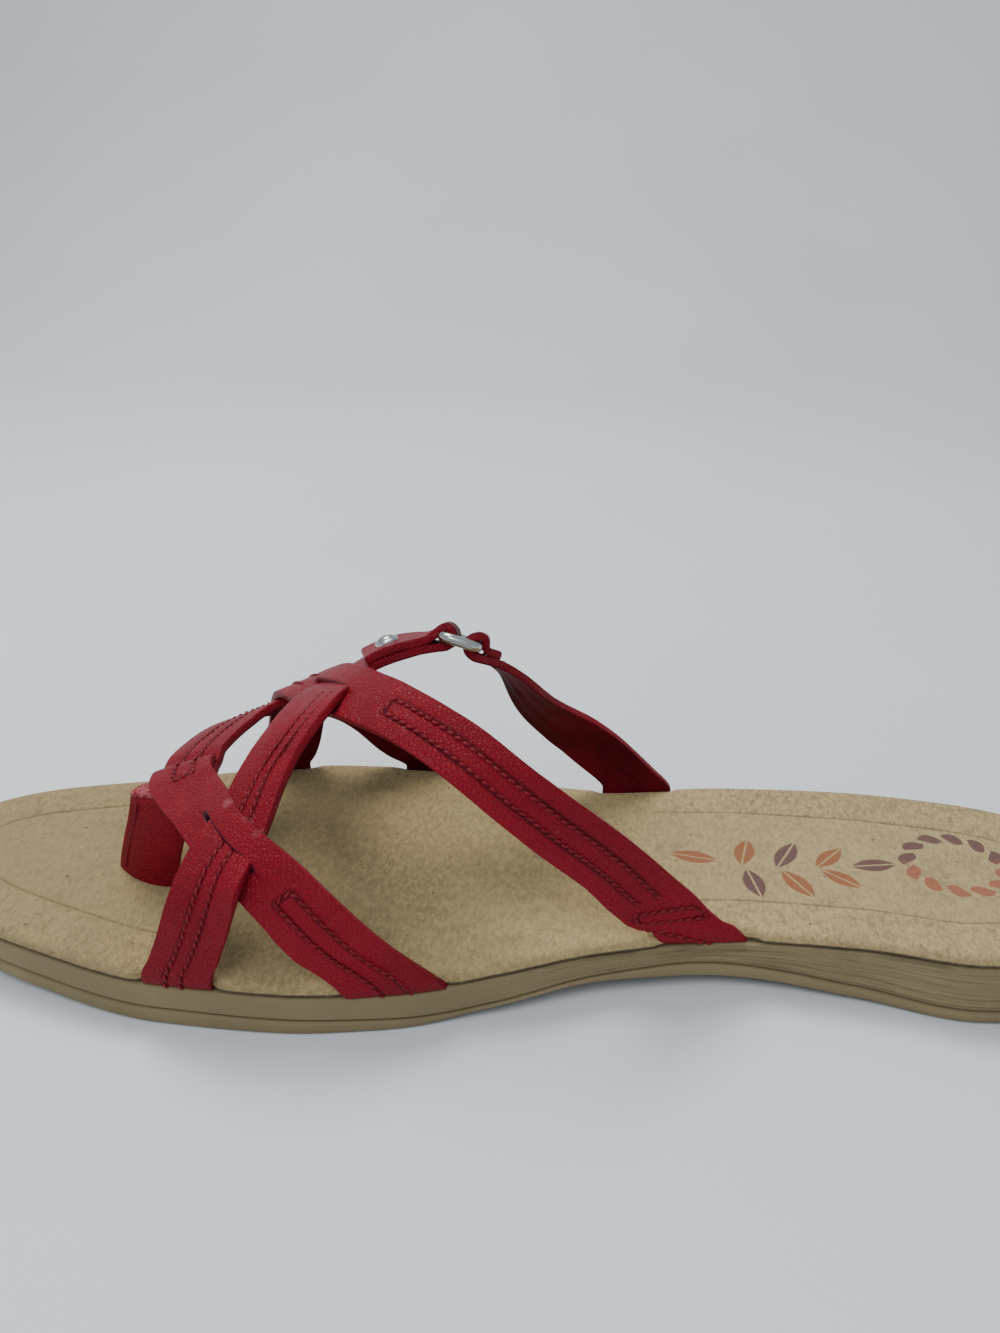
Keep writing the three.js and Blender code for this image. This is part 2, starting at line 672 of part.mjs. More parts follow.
const pockets = tailPockets();
const shoe = new THREE.Group();
shoe.add(
  piece("outsole", toGeometry(makeOutsole(pockets)), 0x7d7158, 0.8),
  piece("footbed", toGeometry(makeFootbed(pockets)), 0xb49d78, 0.95),
  piece("upper", toGeometry(upperSolid), 0x9c2233, 0.5),
  piece("rear_strap", toGeometry(rearStrap.solid), 0x9c2233, 0.5),
  piece("ring", makeRing(), 0xc8c8c8, 0.2, 1),
  piece("snap", makeSnap(), 0xc8c8c8, 0.25, 1),
);

const box = new THREE.Box3().setFromObject(shoe);
const middle = box.getCenter(new THREE.Vector3());
shoe.position.set(-middle.x, -middle.y, -box.min.z);

export default shoe;
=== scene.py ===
"""Strappy sandal for the right foot: ribbed rubber sole, suede footbed, woven red leather straps with
tonal stitches, and a steel ring that joins the long strap to the rear strap.

Metres. +X runs from toe to heel, +Y to the outer side of the foot and +Z up.
"""

import math

import bpy
import numpy as np
from mathutils import Matrix, Vector, noise


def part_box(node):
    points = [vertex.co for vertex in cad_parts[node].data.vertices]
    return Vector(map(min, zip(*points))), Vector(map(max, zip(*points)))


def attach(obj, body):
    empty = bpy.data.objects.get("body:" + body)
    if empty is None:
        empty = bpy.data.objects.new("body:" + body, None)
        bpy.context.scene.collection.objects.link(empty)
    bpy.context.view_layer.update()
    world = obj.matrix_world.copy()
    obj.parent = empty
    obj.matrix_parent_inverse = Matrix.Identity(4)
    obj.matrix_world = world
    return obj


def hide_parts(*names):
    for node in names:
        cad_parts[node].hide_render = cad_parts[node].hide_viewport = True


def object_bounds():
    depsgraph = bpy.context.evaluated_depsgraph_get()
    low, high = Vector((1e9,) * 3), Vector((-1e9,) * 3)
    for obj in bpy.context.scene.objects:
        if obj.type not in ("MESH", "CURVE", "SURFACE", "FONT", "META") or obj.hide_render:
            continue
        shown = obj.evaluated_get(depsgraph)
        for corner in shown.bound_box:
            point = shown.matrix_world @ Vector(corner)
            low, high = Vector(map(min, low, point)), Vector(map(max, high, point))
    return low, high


bl_info = {
    "name": "Strappy Sandal",
    "version": (1, 0, 0),
    "blender": (4, 5, 0),
    "location": "3D View > Sidebar > Sandal",
    "description": "Builds a strappy leather sandal and the stage it stands on",
    "category": "Object",
}

MM = 0.001
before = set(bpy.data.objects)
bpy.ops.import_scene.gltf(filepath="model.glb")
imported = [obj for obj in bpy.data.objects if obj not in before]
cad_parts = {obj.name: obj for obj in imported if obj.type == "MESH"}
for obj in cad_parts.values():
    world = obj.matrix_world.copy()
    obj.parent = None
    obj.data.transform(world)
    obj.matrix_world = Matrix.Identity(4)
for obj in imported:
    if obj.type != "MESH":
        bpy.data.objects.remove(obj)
frame_low, frame_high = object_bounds()
OUTSOLE_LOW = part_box("outsole")[0]


def table(columns, *rows):
    """Rows of numbers under named columns, as one dict a row. A short row leaves out its last columns."""
    names = columns.split()
    return [dict(zip(names, row)) for row in rows]


# Half widths of the sole as shares of the width named in the last column
OUTLINE = table(
    "along medial lateral width",
    (0, 0.065, -0.065, "ball_width"), (0.036, 0.25, 0.174, "ball_width"),
    (0.071, 0.32, 0.245, "ball_width"), (0.143, 0.41, 0.315, "ball_width"),
    (0.25, 0.489, 0.432, "ball_width"), (0.34, 0.504, 0.484, "ball_width"),
    (0.41, 0.482, 0.489, "ball_width"), (0.5, 0.411, 0.432, "ball_width"),
    (0.59, 0.473, 0.575, "waist_width"), (0.68, 0.414, 0.578, "waist_width"),
    (0.77, 0.463, 0.532, "heel_width"), (0.857, 0.546, 0.452, "heel_width"),
    (0.93, 0.52, 0.354, "heel_width"), (1, 0.087, -0.087, "heel_width"),
)

# The sole from the side, as shares of toe spring, arch lift and the ball's and heel's thickness
PROFILE = table(
    "along spring lift ball heel groove",
    (0, 1, 0, 0.66, 0, 0.38), (0.07, 0.52, 0, 0.84, 0, 0.38), (0.143, 0.24, 0, 0.97, 0, 0.38),
    (0.25, 0, 0, 1, 0, 0.4), (0.34, 0, 0, 0.95, 0, 0.38), (0.43, 0, 0, 0.89, 0, 0.3),
    (0.5, 0, 0.55, 0.77, 0, 0.16), (0.571, 0, 1, 0.7, 0, 0.26), (0.64, 0, 0.85, 0.83, 0, 0.42),
    (0.714, 0, 0.55, 0, 0.68, 0.33), (0.77, 0, 0.2, 0, 0.83, 0.26), (0.83, 0, 0, 0, 0.94, 0.22),
    (0.94, 0, 0, 0, 1, 0.22), (1, 0, 0.22, 0, 0.96, 0.22),
)

# The last of the foot over the footbed: height as a share of the instep's, and fullness of its section
LAST = table(
    "along height fullness",
    (0.1, 0.2, 2.8), (0.16, 0.26, 2.8), (0.215, 0.325, 2.7), (0.27, 0.41, 2.6), (0.32, 0.52, 2.5),
    (0.375, 0.655, 2.4), (0.43, 0.77, 2.3), (0.48, 0.85, 2.2), (0.54, 0.92, 2.2), (0.6, 0.97, 2.2),
    (0.72, 1, 2.2),
)

# Strap routes over the last. across is in degrees round the section, layer counts strap layers over
# the last, near and far are the strap's reach to its two edges in millimetres, slant turns a section
# along the sole's edge, ringward turns it to the ring, and slitward turns it along the slit that the
# strap goes through. start and end are where a strap enters the sole: the side, how far along, its
# reach to both edges, and how much that drifts for each millimetre of height.
FRONT_BAND = {
    "start": (-1, 0.427, 9, 11.3, 1.2),
    "rows": table(
        "along across layer near far slant",
        (0.404, -86, 0, 11.6, 8.6, 1), (0.38, -82, 0, 7.9, 9.7, 0.75), (0.352, -70, 0.1, 6.2, 8.3, 0.35),
        (0.331, -60, 0.4, 5.5, 7.9), (0.302, -46, 0.5, 5.6, 6.9), (0.272, -27, 0.2, 5.3, 7.6),
        (0.252, -15, 0, 6, 7.9), (0.241, -6, 0, 7.6, 7.5), (0.244, 3, 0, 8.6, 6.7),
        (0.256, 17, 0, 9.2, 7.2), (0.276, 32, 0, 8.2, 7.3), (0.304, 47, 0, 7.3, 7.3),
        (0.338, 61, 0, 7.6, 7.6, 0.3), (0.372, 75, 0, 8.8, 8.8, 0.7), (0.4, 86, 0, 9.6, 9.6, 1),
    ),
    "end": (1, 0.424, 9.6, 9.6, 0),
}
CROSS_STRAP = {
    "start": (-1, 0.659, 8.7, 9.8, 1.5),
    "rows": table(
        "along across layer near far slant",
        (0.634, -88, 0, 10.6, 8.2, 1), (0.607, -85, 0, 6, 11, 0.75), (0.575, -77, 0, 4.9, 9.4, 0.4),
        (0.537, -66, 0, 5.5, 7.8), (0.502, -55, 0, 5, 7.6), (0.469, -43, 0, 4.7, 7.8),
        (0.445, -34, 0, 4.4, 7.7), (0.425, -26, 0.1, 4.7, 7.6), (0.404, -17, 0.3, 5.6, 7.7),
        (0.383, -7, 0.5, 6.9, 7.4), (0.358, 4, 0.5, 7.6, 7), (0.338, 14, 0.6, 7.4, 7.2),
        (0.32, 27, 1, 7.3, 7.3), (0.307, 41, 1, 7.3, 7.3), (0.297, 55, 0.8, 7.3, 7.3),
        (0.288, 70, 0.2, 7.3, 7.3, 0.6), (0.278, 85, 0, 7.6, 7.6, 1),
    ),
    "end": (1, 0.268, 7.7, 7.7, 0),
}
LONG_STRAP = {
    "start": (-1, 0.266, 8, 6.9, -0.35),
    "rows": table(
        "along across layer near far slant ringward slitward",
        (0.276, -84, 0, 7.4, 7, 1), (0.289, -68, 0.7, 7.1, 6.9, 0.5),
        (0.297, -57, 1.3, 7, 8, 0, 0, 0.6), (0.302, -50, 1.3, 6.8, 9, 0, 0, 1),
        (0.306, -43, 0.1, 6.5, 8.6, 0, 0, 1), (0.31, -36, -0.4, 6.5, 7.4, 0, 0, 0.6),
        (0.316, -27, 0, 6.3, 7.4), (0.324, -18, 0.6, 6.2, 8.4), (0.334, -10, 1.2, 6.2, 12, 0, 0, 0.35),
        (0.345, -4, 1.4, 7, 14, 0, 0, 0.6), (0.355, 1, 0.9, 8, 12, 0, 0, 0.7),
        (0.364, 6, -0.2, 8, 8, 0, 0, 0.4), (0.376, 10, 0.2, 7.3, 7.3),
        (0.396, 11, 0.3, 7.3, 7.3), (0.416, 12, -0.1, 7.3, 7.3),
    ),
}
REAR_STRAP = {
    "start": (1, 0.616, 9.2, 9, 0),
    "rows": table(
        "along across layer near far slant ringward",
        (0.592, 84, 0, 9, 9.6, 1), (0.567, 77, -0.8, 6.9, 7.8, 0.5),
        (0.546, 72, -1.7, 6.6, 6.8, 0, 0.15), (0.521, 63, -3.2, 7, 6.6, 0, 0.4),
        (0.506, 52, -4, 7.2, 7.1, 0, 0.6), (0.49, 39, -3.8, 7.3, 7.3, 0, 0.85),
    ),
}
# The toe post's front and rear edges, from the footbed up, in millimetres
TOE_POST = table(
    "front_x front_y front_z rear_x rear_y rear_z",
    (-90.9, -9.6, 11.5, -75.9, -15.4, 11.5), (-90.7, -9.7, 14, -75.7, -15.4, 14),
    (-88.5, -10.6, 21, -74.2, -15.8, 21), (-86, -11.6, 28, -71.6, -16.4, 28.5),
    (-84, -12.4, 35.4, -68.5, -16.8, 36.8),
)
POST_FLAP = table(
    "front_x front_y front_z rear_x rear_y rear_z",
    (-84, -13.2, 35.6, -70, -16.6, 36.4), (-84, -12.2, 36, -70, -14, 37),
    (-83.6, -10.2, 35.9, -70, -11, 37), (-82.4, -8, 35.2, -70, -8.6, 36.4),
)
# The ring over the last, with its turns in degrees
RING_PLACE = {"along": 0.459, "across": 18, "lift": -1.665 * MM, "turn": 2, "tilt": 32, "roll": 1}
# Where the middle of each slit is: how far along, and how many degrees across
BAND_SLIT = (0.303, -47)
CROSS_SLIT = (0.359, 3.5)


def length_property(name, description, default):
    return bpy.props.FloatProperty(
        name=name, description=description, default=default, min=0, precision=4, unit="LENGTH"
    )


def colour_property(name, description, default):
    return bpy.props.FloatVectorProperty(
        name=name, description=description, default=default, size=3, min=0, max=1, subtype="COLOR"
    )


class SandalSizes(bpy.types.PropertyGroup):
    """Sizes of the sandal."""

    sole_length: length_property("Sole length", "From toe to heel", frame_high.x - frame_low.x)
    ball_width: length_property("Ball width", "Sole width at the ball of the foot", 92 * MM)
    waist_width: length_property("Waist width", "Sole width at the arch", 64 * MM)
    heel_width: length_property("Heel width", "Sole width at the heel", 63 * MM)
    ball_thickness: length_property("Ball thickness", "Outsole thickness at the ball", 10 * MM)
    heel_thickness: length_property("Heel thickness", "Outsole thickness at the heel", 15 * MM)
    toe_spring: length_property("Toe spring", "Height of the toe's underside", 6.9 * MM)
    arch_lift: length_property("Arch lift", "Height of the inner arch's underside", 4 * MM)
    footbed_thickness: length_property("Footbed thickness", "Thickness of the suede footbed", 2.8 * MM)
    strap_width: length_property("Strap width", "Width of a leather strap", 14.6 * MM)
    strap_thickness: length_property("Strap thickness", "Thickness of a leather strap", 2 * MM)
    instep_height: length_property("Instep height", "Height of the last over the footbed", 68 * MM)
    wire: length_property("Ring wire", "Thickness of the ring's wire", 2.4 * MM)
    ring_opening: length_property("Ring opening", "Clear width inside the ring", 5.6 * MM)
    snap_diameter: length_property("Snap diameter", "Width of the snap's cap", 5.6 * MM)
    stitch_length: length_property("Stitch length", "Length of one stitch", 2.3 * MM)
    stitch_pitch: length_property("Stitch pitch", "From one stitch to the next", 1.9 * MM)


class SandalColours(bpy.types.PropertyGroup):
    """Colours of the sandal's finishes."""

    leather: colour_property("Leather", "Red grain leather", (0.225, 0.0036, 0.0135))
    lining: colour_property("Lining", "Dark red lining", (0.085, 0.002, 0.0065))
    thread: colour_property("Thread", "Tonal stitching thread", (0.16, 0.0045, 0.012))
    suede: colour_property("Suede", "Tan suede of the footbed", (0.43, 0.318, 0.152))
    sole: colour_property("Sole", "Olive rubber of the outsole", (0.222, 0.166, 0.084))
    steel: colour_property("Steel", "Polished ring and snap", (0.5, 0.5, 0.49))
    floor: colour_property("Floor", "Pale floor", (0.73, 0.765, 0.79))


def smooth(at, values):
    """A curve through values that never overshoots them."""
    at, values = np.array(at, float), np.array(values, float)
    gap = np.diff(at)
    rise = np.diff(values) / gap
    slope = np.zeros(len(at))
    slope[0], slope[-1] = rise[0], rise[-1]
    for i in range(1, len(at) - 1):
        if rise[i - 1] * rise[i] > 0:
            before, after = 2 * gap[i] + gap[i - 1], gap[i] + 2 * gap[i - 1]
            slope[i] = (before + after) / (before / rise[i - 1] + after / rise[i])

    def curve(x):
        held = np.clip(x, at[0], at[-1])
        i = np.clip(np.searchsorted(at, held, "right") - 1, 0, len(at) - 2)
        t = (held - at[i]) / gap[i]
        eased = t * t * (3 - 2 * t)
        start = t * (1 - t) * (1 - t) * gap[i] * slope[i]
        end = t * t * (1 - t) * gap[i] * slope[i + 1]
        return values[i] + (values[i + 1] - values[i]) * eased + start - end

    return curve


def unit(vectors):
    """Vectors made one long."""
    return vectors / np.maximum(np.linalg.norm(vectors, axis=-1, keepdims=True), 1e-12)


def ease(value, low, high):
    """0 below low, 1 above high, and smooth between them."""
    t = np.clip((value - low) / (high - low), 0, 1)
    return t * t * (3 - 2 * t)


def bell(value, middle, spread):
    """1 at the middle, falling to nothing on both sides."""
    return np.exp(-(((value - middle) / spread) ** 2))


def turned(vector, axis, degrees):
    """A vector turned round an axis."""
    return np.array(Matrix.Rotation(math.radians(degrees), 3, Vector(axis)) @ Vector(vector))


def turn_of(along):
    """The angle of a half circle that stands for a place along the sole."""
    return np.arccos(1 - 2 * np.clip(along, 0, 1))


# The arch's lift at the outer side as a share of the inner side's
LATERAL_ARCH = 0.4
CLEARANCE = 0.3 * MM
# How far inside the sole's edge the last's section ends
STRAP_INSET = 2.2 * MM
# A strap's end turns in under the footbed on this radius and runs on for this length
TAIL_BEND = 2 * MM
TAIL_LENGTH = 9 * MM
EDGE_HOLD = 0.75 * MM
EDGE_RISE = 1 * MM
# Steps along and across the last for its slope, and the last angle at which the slope is taken
ALONG_STEP = 0.004
ACROSS_STEP = 0.9
STEEPEST = 89


class Form:
    """The sole, and the last of the foot that the straps lie on."""

    def __init__(self, sizes):
        self.sizes = sizes
        turns = [turn_of(row["along"]) for row in OUTLINE]
        widths = [getattr(sizes, row["width"]) for row in OUTLINE]
        self.medial = smooth(turns, [-row["medial"] * w for row, w in zip(OUTLINE, widths)])
        self.lateral = smooth(turns, [row["lateral"] * w for row, w in zip(OUTLINE, widths)])
        along = [row["along"] for row in PROFILE]
        self.toe_rise = smooth(along, [row["spring"] * sizes.toe_spring for row in PROFILE])
        self.arch_rise = smooth(along, [row["lift"] * sizes.arch_lift for row in PROFILE])
        self.thickness = smooth(
            along,
            [r["ball"] * sizes.ball_thickness + r["heel"] * sizes.heel_thickness for r in PROFILE],
        )
        self.groove = smooth(along, [row["groove"] for row in PROFILE])
        along = [row["along"] for row in LAST]
        self.last_height = smooth(along, [row["height"] * sizes.instep_height for row in LAST])
        self.fullness = smooth(along, [row["fullness"] for row in LAST])
        narrowest = min(self.medial(turn) for turn in np.linspace(0, math.pi, 400))
        self.shift = OUTSOLE_LOW.y - narrowest

    def sole_bottom(self, along, y):
        turn = turn_of(along)
        medial, lateral = self.medial(turn), self.lateral(turn)
        width = lateral - medial
        broad = np.abs(width) > 1e-6
        across = np.where(broad, (y - medial) / np.where(broad, width, 1), 0.5)
        across = np.clip(across, -0.1, 1.1)
        return self.toe_rise(along) + self.arch_rise(along) * (1 + (LATERAL_ARCH - 1) * across)

    def sole_top(self, along, y):
        return self.sole_bottom(along, y) + self.thickness(along)

    def footbed_top(self, along, y):
        return self.sole_top(along, y) + CLEARANCE + self.sizes.footbed_thickness

    def x_at(self, along):
        return (along - 0.5) * self.sizes.sole_length

    def on_last(self, along, across):
        """A point on the last and the direction that faces out of it."""

        def surface(s, degrees):
            turn = turn_of(s)
            near, far = self.medial(turn) + STRAP_INSET, self.lateral(turn) - STRAP_INSET
            angle = math.radians(degrees)
            power = 2 / self.fullness(s)
            sideways = math.copysign(abs(math.sin(angle)) ** power, angle)
            y = (near + far) / 2 + (far - near) / 2 * sideways
            z = self.footbed_top(s, y) + self.last_height(s) * math.cos(angle) ** power
            return np.array([self.x_at(s), y, z], float)

        held = min(max(across, -STEEPEST), STEEPEST)
        step_along = surface(along + ALONG_STEP, held) - surface(along - ALONG_STEP, held)
        step_across = surface(along, held + ACROSS_STEP) - surface(along, held - ACROSS_STEP)
        return surface(along, held), unit(np.cross(step_along, step_across))

    def on_edge(self, side, along):
        """A point of the sole's outline and the direction along it."""
        edge = self.medial if side < 0 else self.lateral

        def at(s):
            return np.array([self.x_at(s), edge(turn_of(s)), 0], float)

        return at(along), unit(at(along + 0.01) - at(along - 0.01))

    def outline(self, steps):
        """Points of the plan outline from the toe round the medial side to the heel and back."""
        step = np.arange(2 * steps)
        turn = np.pi * np.minimum(step, 2 * steps - step) / steps
        y = np.where(step <= steps, self.medial(turn), self.lateral(turn))
        along = (1 - np.cos(turn)) / 2
        x = self.x_at(along)
        tangent_x = np.roll(x, -1) - np.roll(x, 1)
        tangent_y = np.roll(y, -1) - np.roll(y, 1)
        inward = unit(np.stack([-tangent_y, tangent_x], -1))
        return along, x, y, inward


def placed(form, points):
    """Points moved sideways to where the frame has the sole."""
    return np.asarray(points, float) + np.array([0, form.shift, 0])


def ring_frame(form):
    """The ring's middle, the direction across it, its long axis and the direction out of it."""
    place = RING_PLACE
    point, normal = form.on_last(place["along"], place["across"])
    run = unit(np.array([1, 0, 0]) - normal * normal[0])
    run = turned(run, normal, place["turn"])
    long_axis = unit(np.cross(normal, run))
    up, run = turned(normal, long_axis, place["tilt"]), turned(run, long_axis, place["tilt"])
    up, long_axis = turned(up, run, place["roll"]), turned(long_axis, run, place["roll"])
    return {"centre": point + up * place["lift"], "run": run, "long": long_axis, "up": up}


class Route:
    """Knots of a strap's middle sheet: its points, the direction of its width, its reach to both sides,
    and whether each is held in place, at the sole's edge or round the ring."""

    def __init__(self):
        self.points, self.sideways, self.held, self.reach = [], [], [], []

    def add(self, point, sideways, held, reach):
        self.points.append(np.array(point, float))
        self.sideways.append(np.array(sideways, float))
        self.held.append(held)
        self.reach.append(reach)

    def extend(self, other, backwards=False):
        order = slice(None, None, -1) if backwards else slice(None)
        self.points += other.points[order]
        self.sideways += other.sideways[order]
        self.held += other.held[order]
        self.reach += other.reach[order]

    def turn_over(self):
        """Turns the direction of every width round."""
        self.sideways = [-way for way in self.sideways]


def edge_route(form, side, along, near, far, drift):
    """From over the sole's edge down and in between the outsole and the footbed."""
    sizes = form.sizes
    spot, sideways = form.on_edge(side, along)
    inward = np.array([-sideways[1], sideways[0], 0]) * -side
    joint = form.sole_top(along, spot[1]) + CLEARANCE / 2
    route = Route()

    def place(depth, height):
        point = spot + inward * (EDGE_HOLD + depth)
        point[2] = joint + height
        rise = max(height, 0) * drift
        route.add(point, sideways, True, (near * MM + rise, far * MM - rise))

    place(0, sizes.footbed_thickness + EDGE_RISE)
    place(0, TAIL_BEND)
    for degrees in (30, 60, 90):
        angle = math.radians(degrees)
        place(TAIL_BEND * (1 - math.cos(angle)), TAIL_BEND * (1 - math.sin(angle)))
    place(TAIL_BEND + TAIL_LENGTH, 0)
    return route


def strap_route(form, ring, strap, layer_step, slits=()):
    """All the knots of a strap, with its width turned the same way from end to end."""
    sizes = form.sizes
    rows = strap["rows"]
    middle = []
    for row in rows:
        point, normal = form.on_last(row["along"], row["across"])
        middle.append((point + normal * (row["layer"] * layer_step + sizes.strap_thickness / 2), normal))
    ends = [edge_route(form, *strap[key]) if key in strap else None for key in ("start", "end")]
    points = [point for point, _ in middle]
    before = [ends[0].points[0]] if ends[0] else [points[0]]
    after = [ends[1].points[0]] if ends[1] else [points[-1]]
    around = before + points + after
    route = Route()
    for i, (row, (point, normal)) in enumerate(zip(rows, middle)):
        square = unit(np.cross(around[i + 2] - around[i], normal))
        edge = form.on_edge(row["across"], row["along"])[1]
        edge = edge * math.copysign(1, float(edge @ square))
        sideways = square + (edge - square) * row.get("slant", 0)
        sideways = sideways + (ring["long"] - sideways) * row.get("ringward", 0)
        if row.get("slitward"):
            run = min(slits, key=lambda slit: float(np.linalg.norm(slit[0] - point)))[1]
            run = run * math.copysign(1, float(run @ sideways))
            sideways = sideways + (run - sideways) * row["slitward"]
        route.add(point, unit(sideways), False, (row["near"] * MM, row["far"] * MM))
    guide = route.sideways[0]
    whole = Route()
    for end in ends:
        if end and end.sideways[0] @ guide < 0:
            end.turn_over()
    if ends[0]:
        whole.extend(ends[0], backwards=True)
    whole.extend(route)
    if ends[1]:
        whole.extend(ends[1])
    return whole


SECTION_STEP = 1.1 * MM
# How often neighbouring sections are averaged, for their reach and their middles
REACH_SOFTENING = 6
MIDDLE_SOFTENING = 14


class Path:
    """A smooth run of sections along a route: middles, directions and widths, at even steps."""

    def __init__(self, route, soften=10):
        points = np.array(route.points)
        ways = np.array(route.sideways)
        padded = np.vstack([2 * points[0] - points[1], points, 2 * points[-1] - points[-2]])
        places = []
        for i in range(len(points) - 1):
            steps = max(1, round(float(np.linalg.norm(points[i + 1] - points[i])) / SECTION_STEP))
            places += [i + j / steps for j in range(steps)]
        places = np.array(places + [len(points) - 1.0])
        i = np.minimum(places.astype(int), len(points) - 2)
        t = (places - i)[:, None]
        p0, p1, p2, p3 = (padded[i + k] for k in range(4))
        gaps = ((p0, p1), (p1, p2), (p2, p3))
        d0, d1, d2 = (np.sqrt(np.linalg.norm(b - a, axis=1))[:, None] for a, b in gaps)
        m1 = ((p1 - p0) / d0 - (p2 - p0) / (d0 + d1) + (p2 - p1) / d1) * d1
        m2 = ((p2 - p1) / d1 - (p3 - p1) / (d1 + d2) + (p3 - p2) / d2) * d1
        c2 = -3 * p1 + 3 * p2 - 2 * m1 - m2
        c3 = 2 * p1 - 2 * p2 + m1 + m2
        self.middle = p1 + m1 * t + c2 * t**2 + c3 * t**3
        self.wide = self.softened(ways[i] + (ways[i + 1] - ways[i]) * t, soften)
        free = ~np.array(route.held)[np.rint(places).astype(int)]
        free = self.softened(free.astype(float), REACH_SOFTENING)[:, None]
        eased = self.softened(self.middle, MIDDLE_SOFTENING)
        self.middle = self.middle + (eased - self.middle) * np.clip(free * 2 - 1, 0, 1)
        self.finish()
        knots = np.arange(len(points))
        near, far = (np.interp(places, knots, side) for side in zip(*route.reach))
        near, far = self.softened(near, REACH_SOFTENING), self.softened(far, REACH_SOFTENING)
        self.middle = self.middle + self.wide * ((far - near) / 2)[:, None]
        self.width = near + far
        self.finish()

    @staticmethod
    def softened(values, times):
        for _ in range(times):
            kept = values.copy()
            kept[1:-1] = (values[:-2] + 2 * values[1:-1] + values[2:]) / 4
            values = kept
        return values

    def finish(self):
        self.wide = unit(self.wide)
        self.run = unit(np.gradient(self.middle, axis=0))
        self.out = unit(np.cross(self.wide, self.run))
        steps = np.linalg.norm(np.diff(self.middle, axis=0), axis=1)
        self.arc = np.concatenate([[0], np.cumsum(steps)])

    def part(self, start, end):
        """The sections between two distances along the path, which keep their distances."""
        piece = object.__new__(Path)
        kept = (self.arc >= start) & (self.arc <= end)
        for name in ("middle", "wide", "width", "run", "out", "arc"):
            setattr(piece, name, getattr(self, name)[kept])
        return piece

    def at(self, arc, across, lift=0):
        """Points by their distance along, share of the half width across, and height over the middle,
        with the directions across and out of the path there."""

        def mixed(values):
            if values.ndim == 1:
                return np.interp(arc, self.arc, values)
            return np.stack([np.interp(arc, self.arc, values[:, k]) for k in range(3)], -1)

        wide, out = unit(mixed(self.wide)), unit(mixed(self.out))
        aside = (across * mixed(self.width) / 2)[..., None]
        return mixed(self.middle) + wide * aside + out * lift, wide, out

    def nearest(self, point):
        """How far along the path a point is."""
        return self.arc[np.argmin(np.linalg.norm(self.middle - point, axis=1))]


FOLD_KNOTS = 6
# How far from the ring's bar the two layers of a fold lie flat on each other
FOLD_SETTLE = 3.3 * MM


def folded_route(form, ring, strap, bar_side, fold_length, layer_step, slits=()):
    """A strap's route that goes round a bar of the ring and back over itself."""
    sizes = form.sizes
    radius = sizes.wire / 2 + CLEARANCE + sizes.strap_thickness / 2
    bar = ring["centre"] + ring["run"] * bar_side * (sizes.ring_opening + sizes.wire) / 2
    sideways = ring["long"] * bar_side
    half_width = sizes.strap_width / 2

    def turn(route, degrees):
        angle = math.radians(degrees)
        spot = bar - ring["up"] * radius * math.cos(angle)
        spot = spot - ring["run"] * bar_side * radius * math.sin(angle)
        route.add(spot, sideways, True, (half_width, half_width))

    route = strap_route(form, ring, strap, layer_step, slits)
    if route.sideways[-1] @ sideways < 0:
        route.turn_over()
    turn(route, 0)
    path = Path(route)
    at_bar = sizes.wire + 2 * CLEARANCE + sizes.strap_thickness
    for degrees in (30, 60, 90, 120, 150, 180):
        turn(route, degrees)
    for i in range(1, FOLD_KNOTS + 1):
        distance = i / FOLD_KNOTS * fold_length
        settled = ease(distance, sizes.wire / 2, FOLD_SETTLE)
        lift = at_bar + (layer_step - at_bar) * settled
        spot, wide, _ = path.at(np.array(path.arc[-1] - distance), np.array(0.0), lift)
        route.add(spot, wide, True, (half_width, half_width))
    return route


def deselect():
    if bpy.context.object and bpy.context.object.mode != "OBJECT":
        bpy.ops.object.mode_set(mode="OBJECT")
    bpy.ops.object.select_all(action="DESELECT")


def only(piece):
    """Selects one piece and makes it the active one."""
    deselect()
    piece.select_set(True)
    bpy.context.view_layer.objects.active = piece


def sheet_from_grid(name, columns, rows):
    """A flat grid of columns by rows of points, to be shaped, with the column and row of each point."""
    deselect()
    bpy.ops.mesh.primitive_grid_add(x_subdivisions=columns - 1, y_subdivisions=rows - 1, size=2)
    piece = bpy.context.object
    piece.name = piece.data.name = name
    flat = np.zeros(len(piece.data.vertices) * 3)
    piece.data.vertices.foreach_get("co", flat)
    flat = flat.reshape(-1, 3)
    column = np.rint((flat[:, 0] + 1) / 2 * (columns - 1)).astype(int)
    row = np.rint((flat[:, 1] + 1) / 2 * (rows - 1)).astype(int)
    return piece, column, row


def shape(piece, points):
    """Moves a piece's points to the places given."""
    piece.data.vertices.foreach_set("co", np.asarray(points, float).ravel())
    piece.data.update()


def mark(piece, name, values):
    """Stores a value at each point of a piece for its material to read."""
    layer = piece.data.attributes.new(name, "FLOAT", "POINT")
    layer.data.foreach_set("value", np.asarray(values, np.float32))


WELD_DISTANCE = 0.005 * MM


def weld(piece):
    """Joins points that meet and turns the faces outwards."""
    only(piece)
    bpy.ops.object.mode_set(mode="EDIT")
    bpy.ops.mesh.select_all(action="SELECT")
    bpy.ops.mesh.remove_doubles(threshold=WELD_DISTANCE)
    bpy.ops.mesh.normals_make_consistent(inside=False)
    bpy.ops.object.mode_set(mode="OBJECT")


def modify(piece, kind, **settings):
    """Adds a modifier, sets it and applies it."""
    only(piece)
    modifier = piece.modifiers.new(kind.title(), kind)
    for key, value in settings.items():
        setattr(modifier, key, value)
    bpy.ops.object.modifier_apply(modifier=modifier.name)


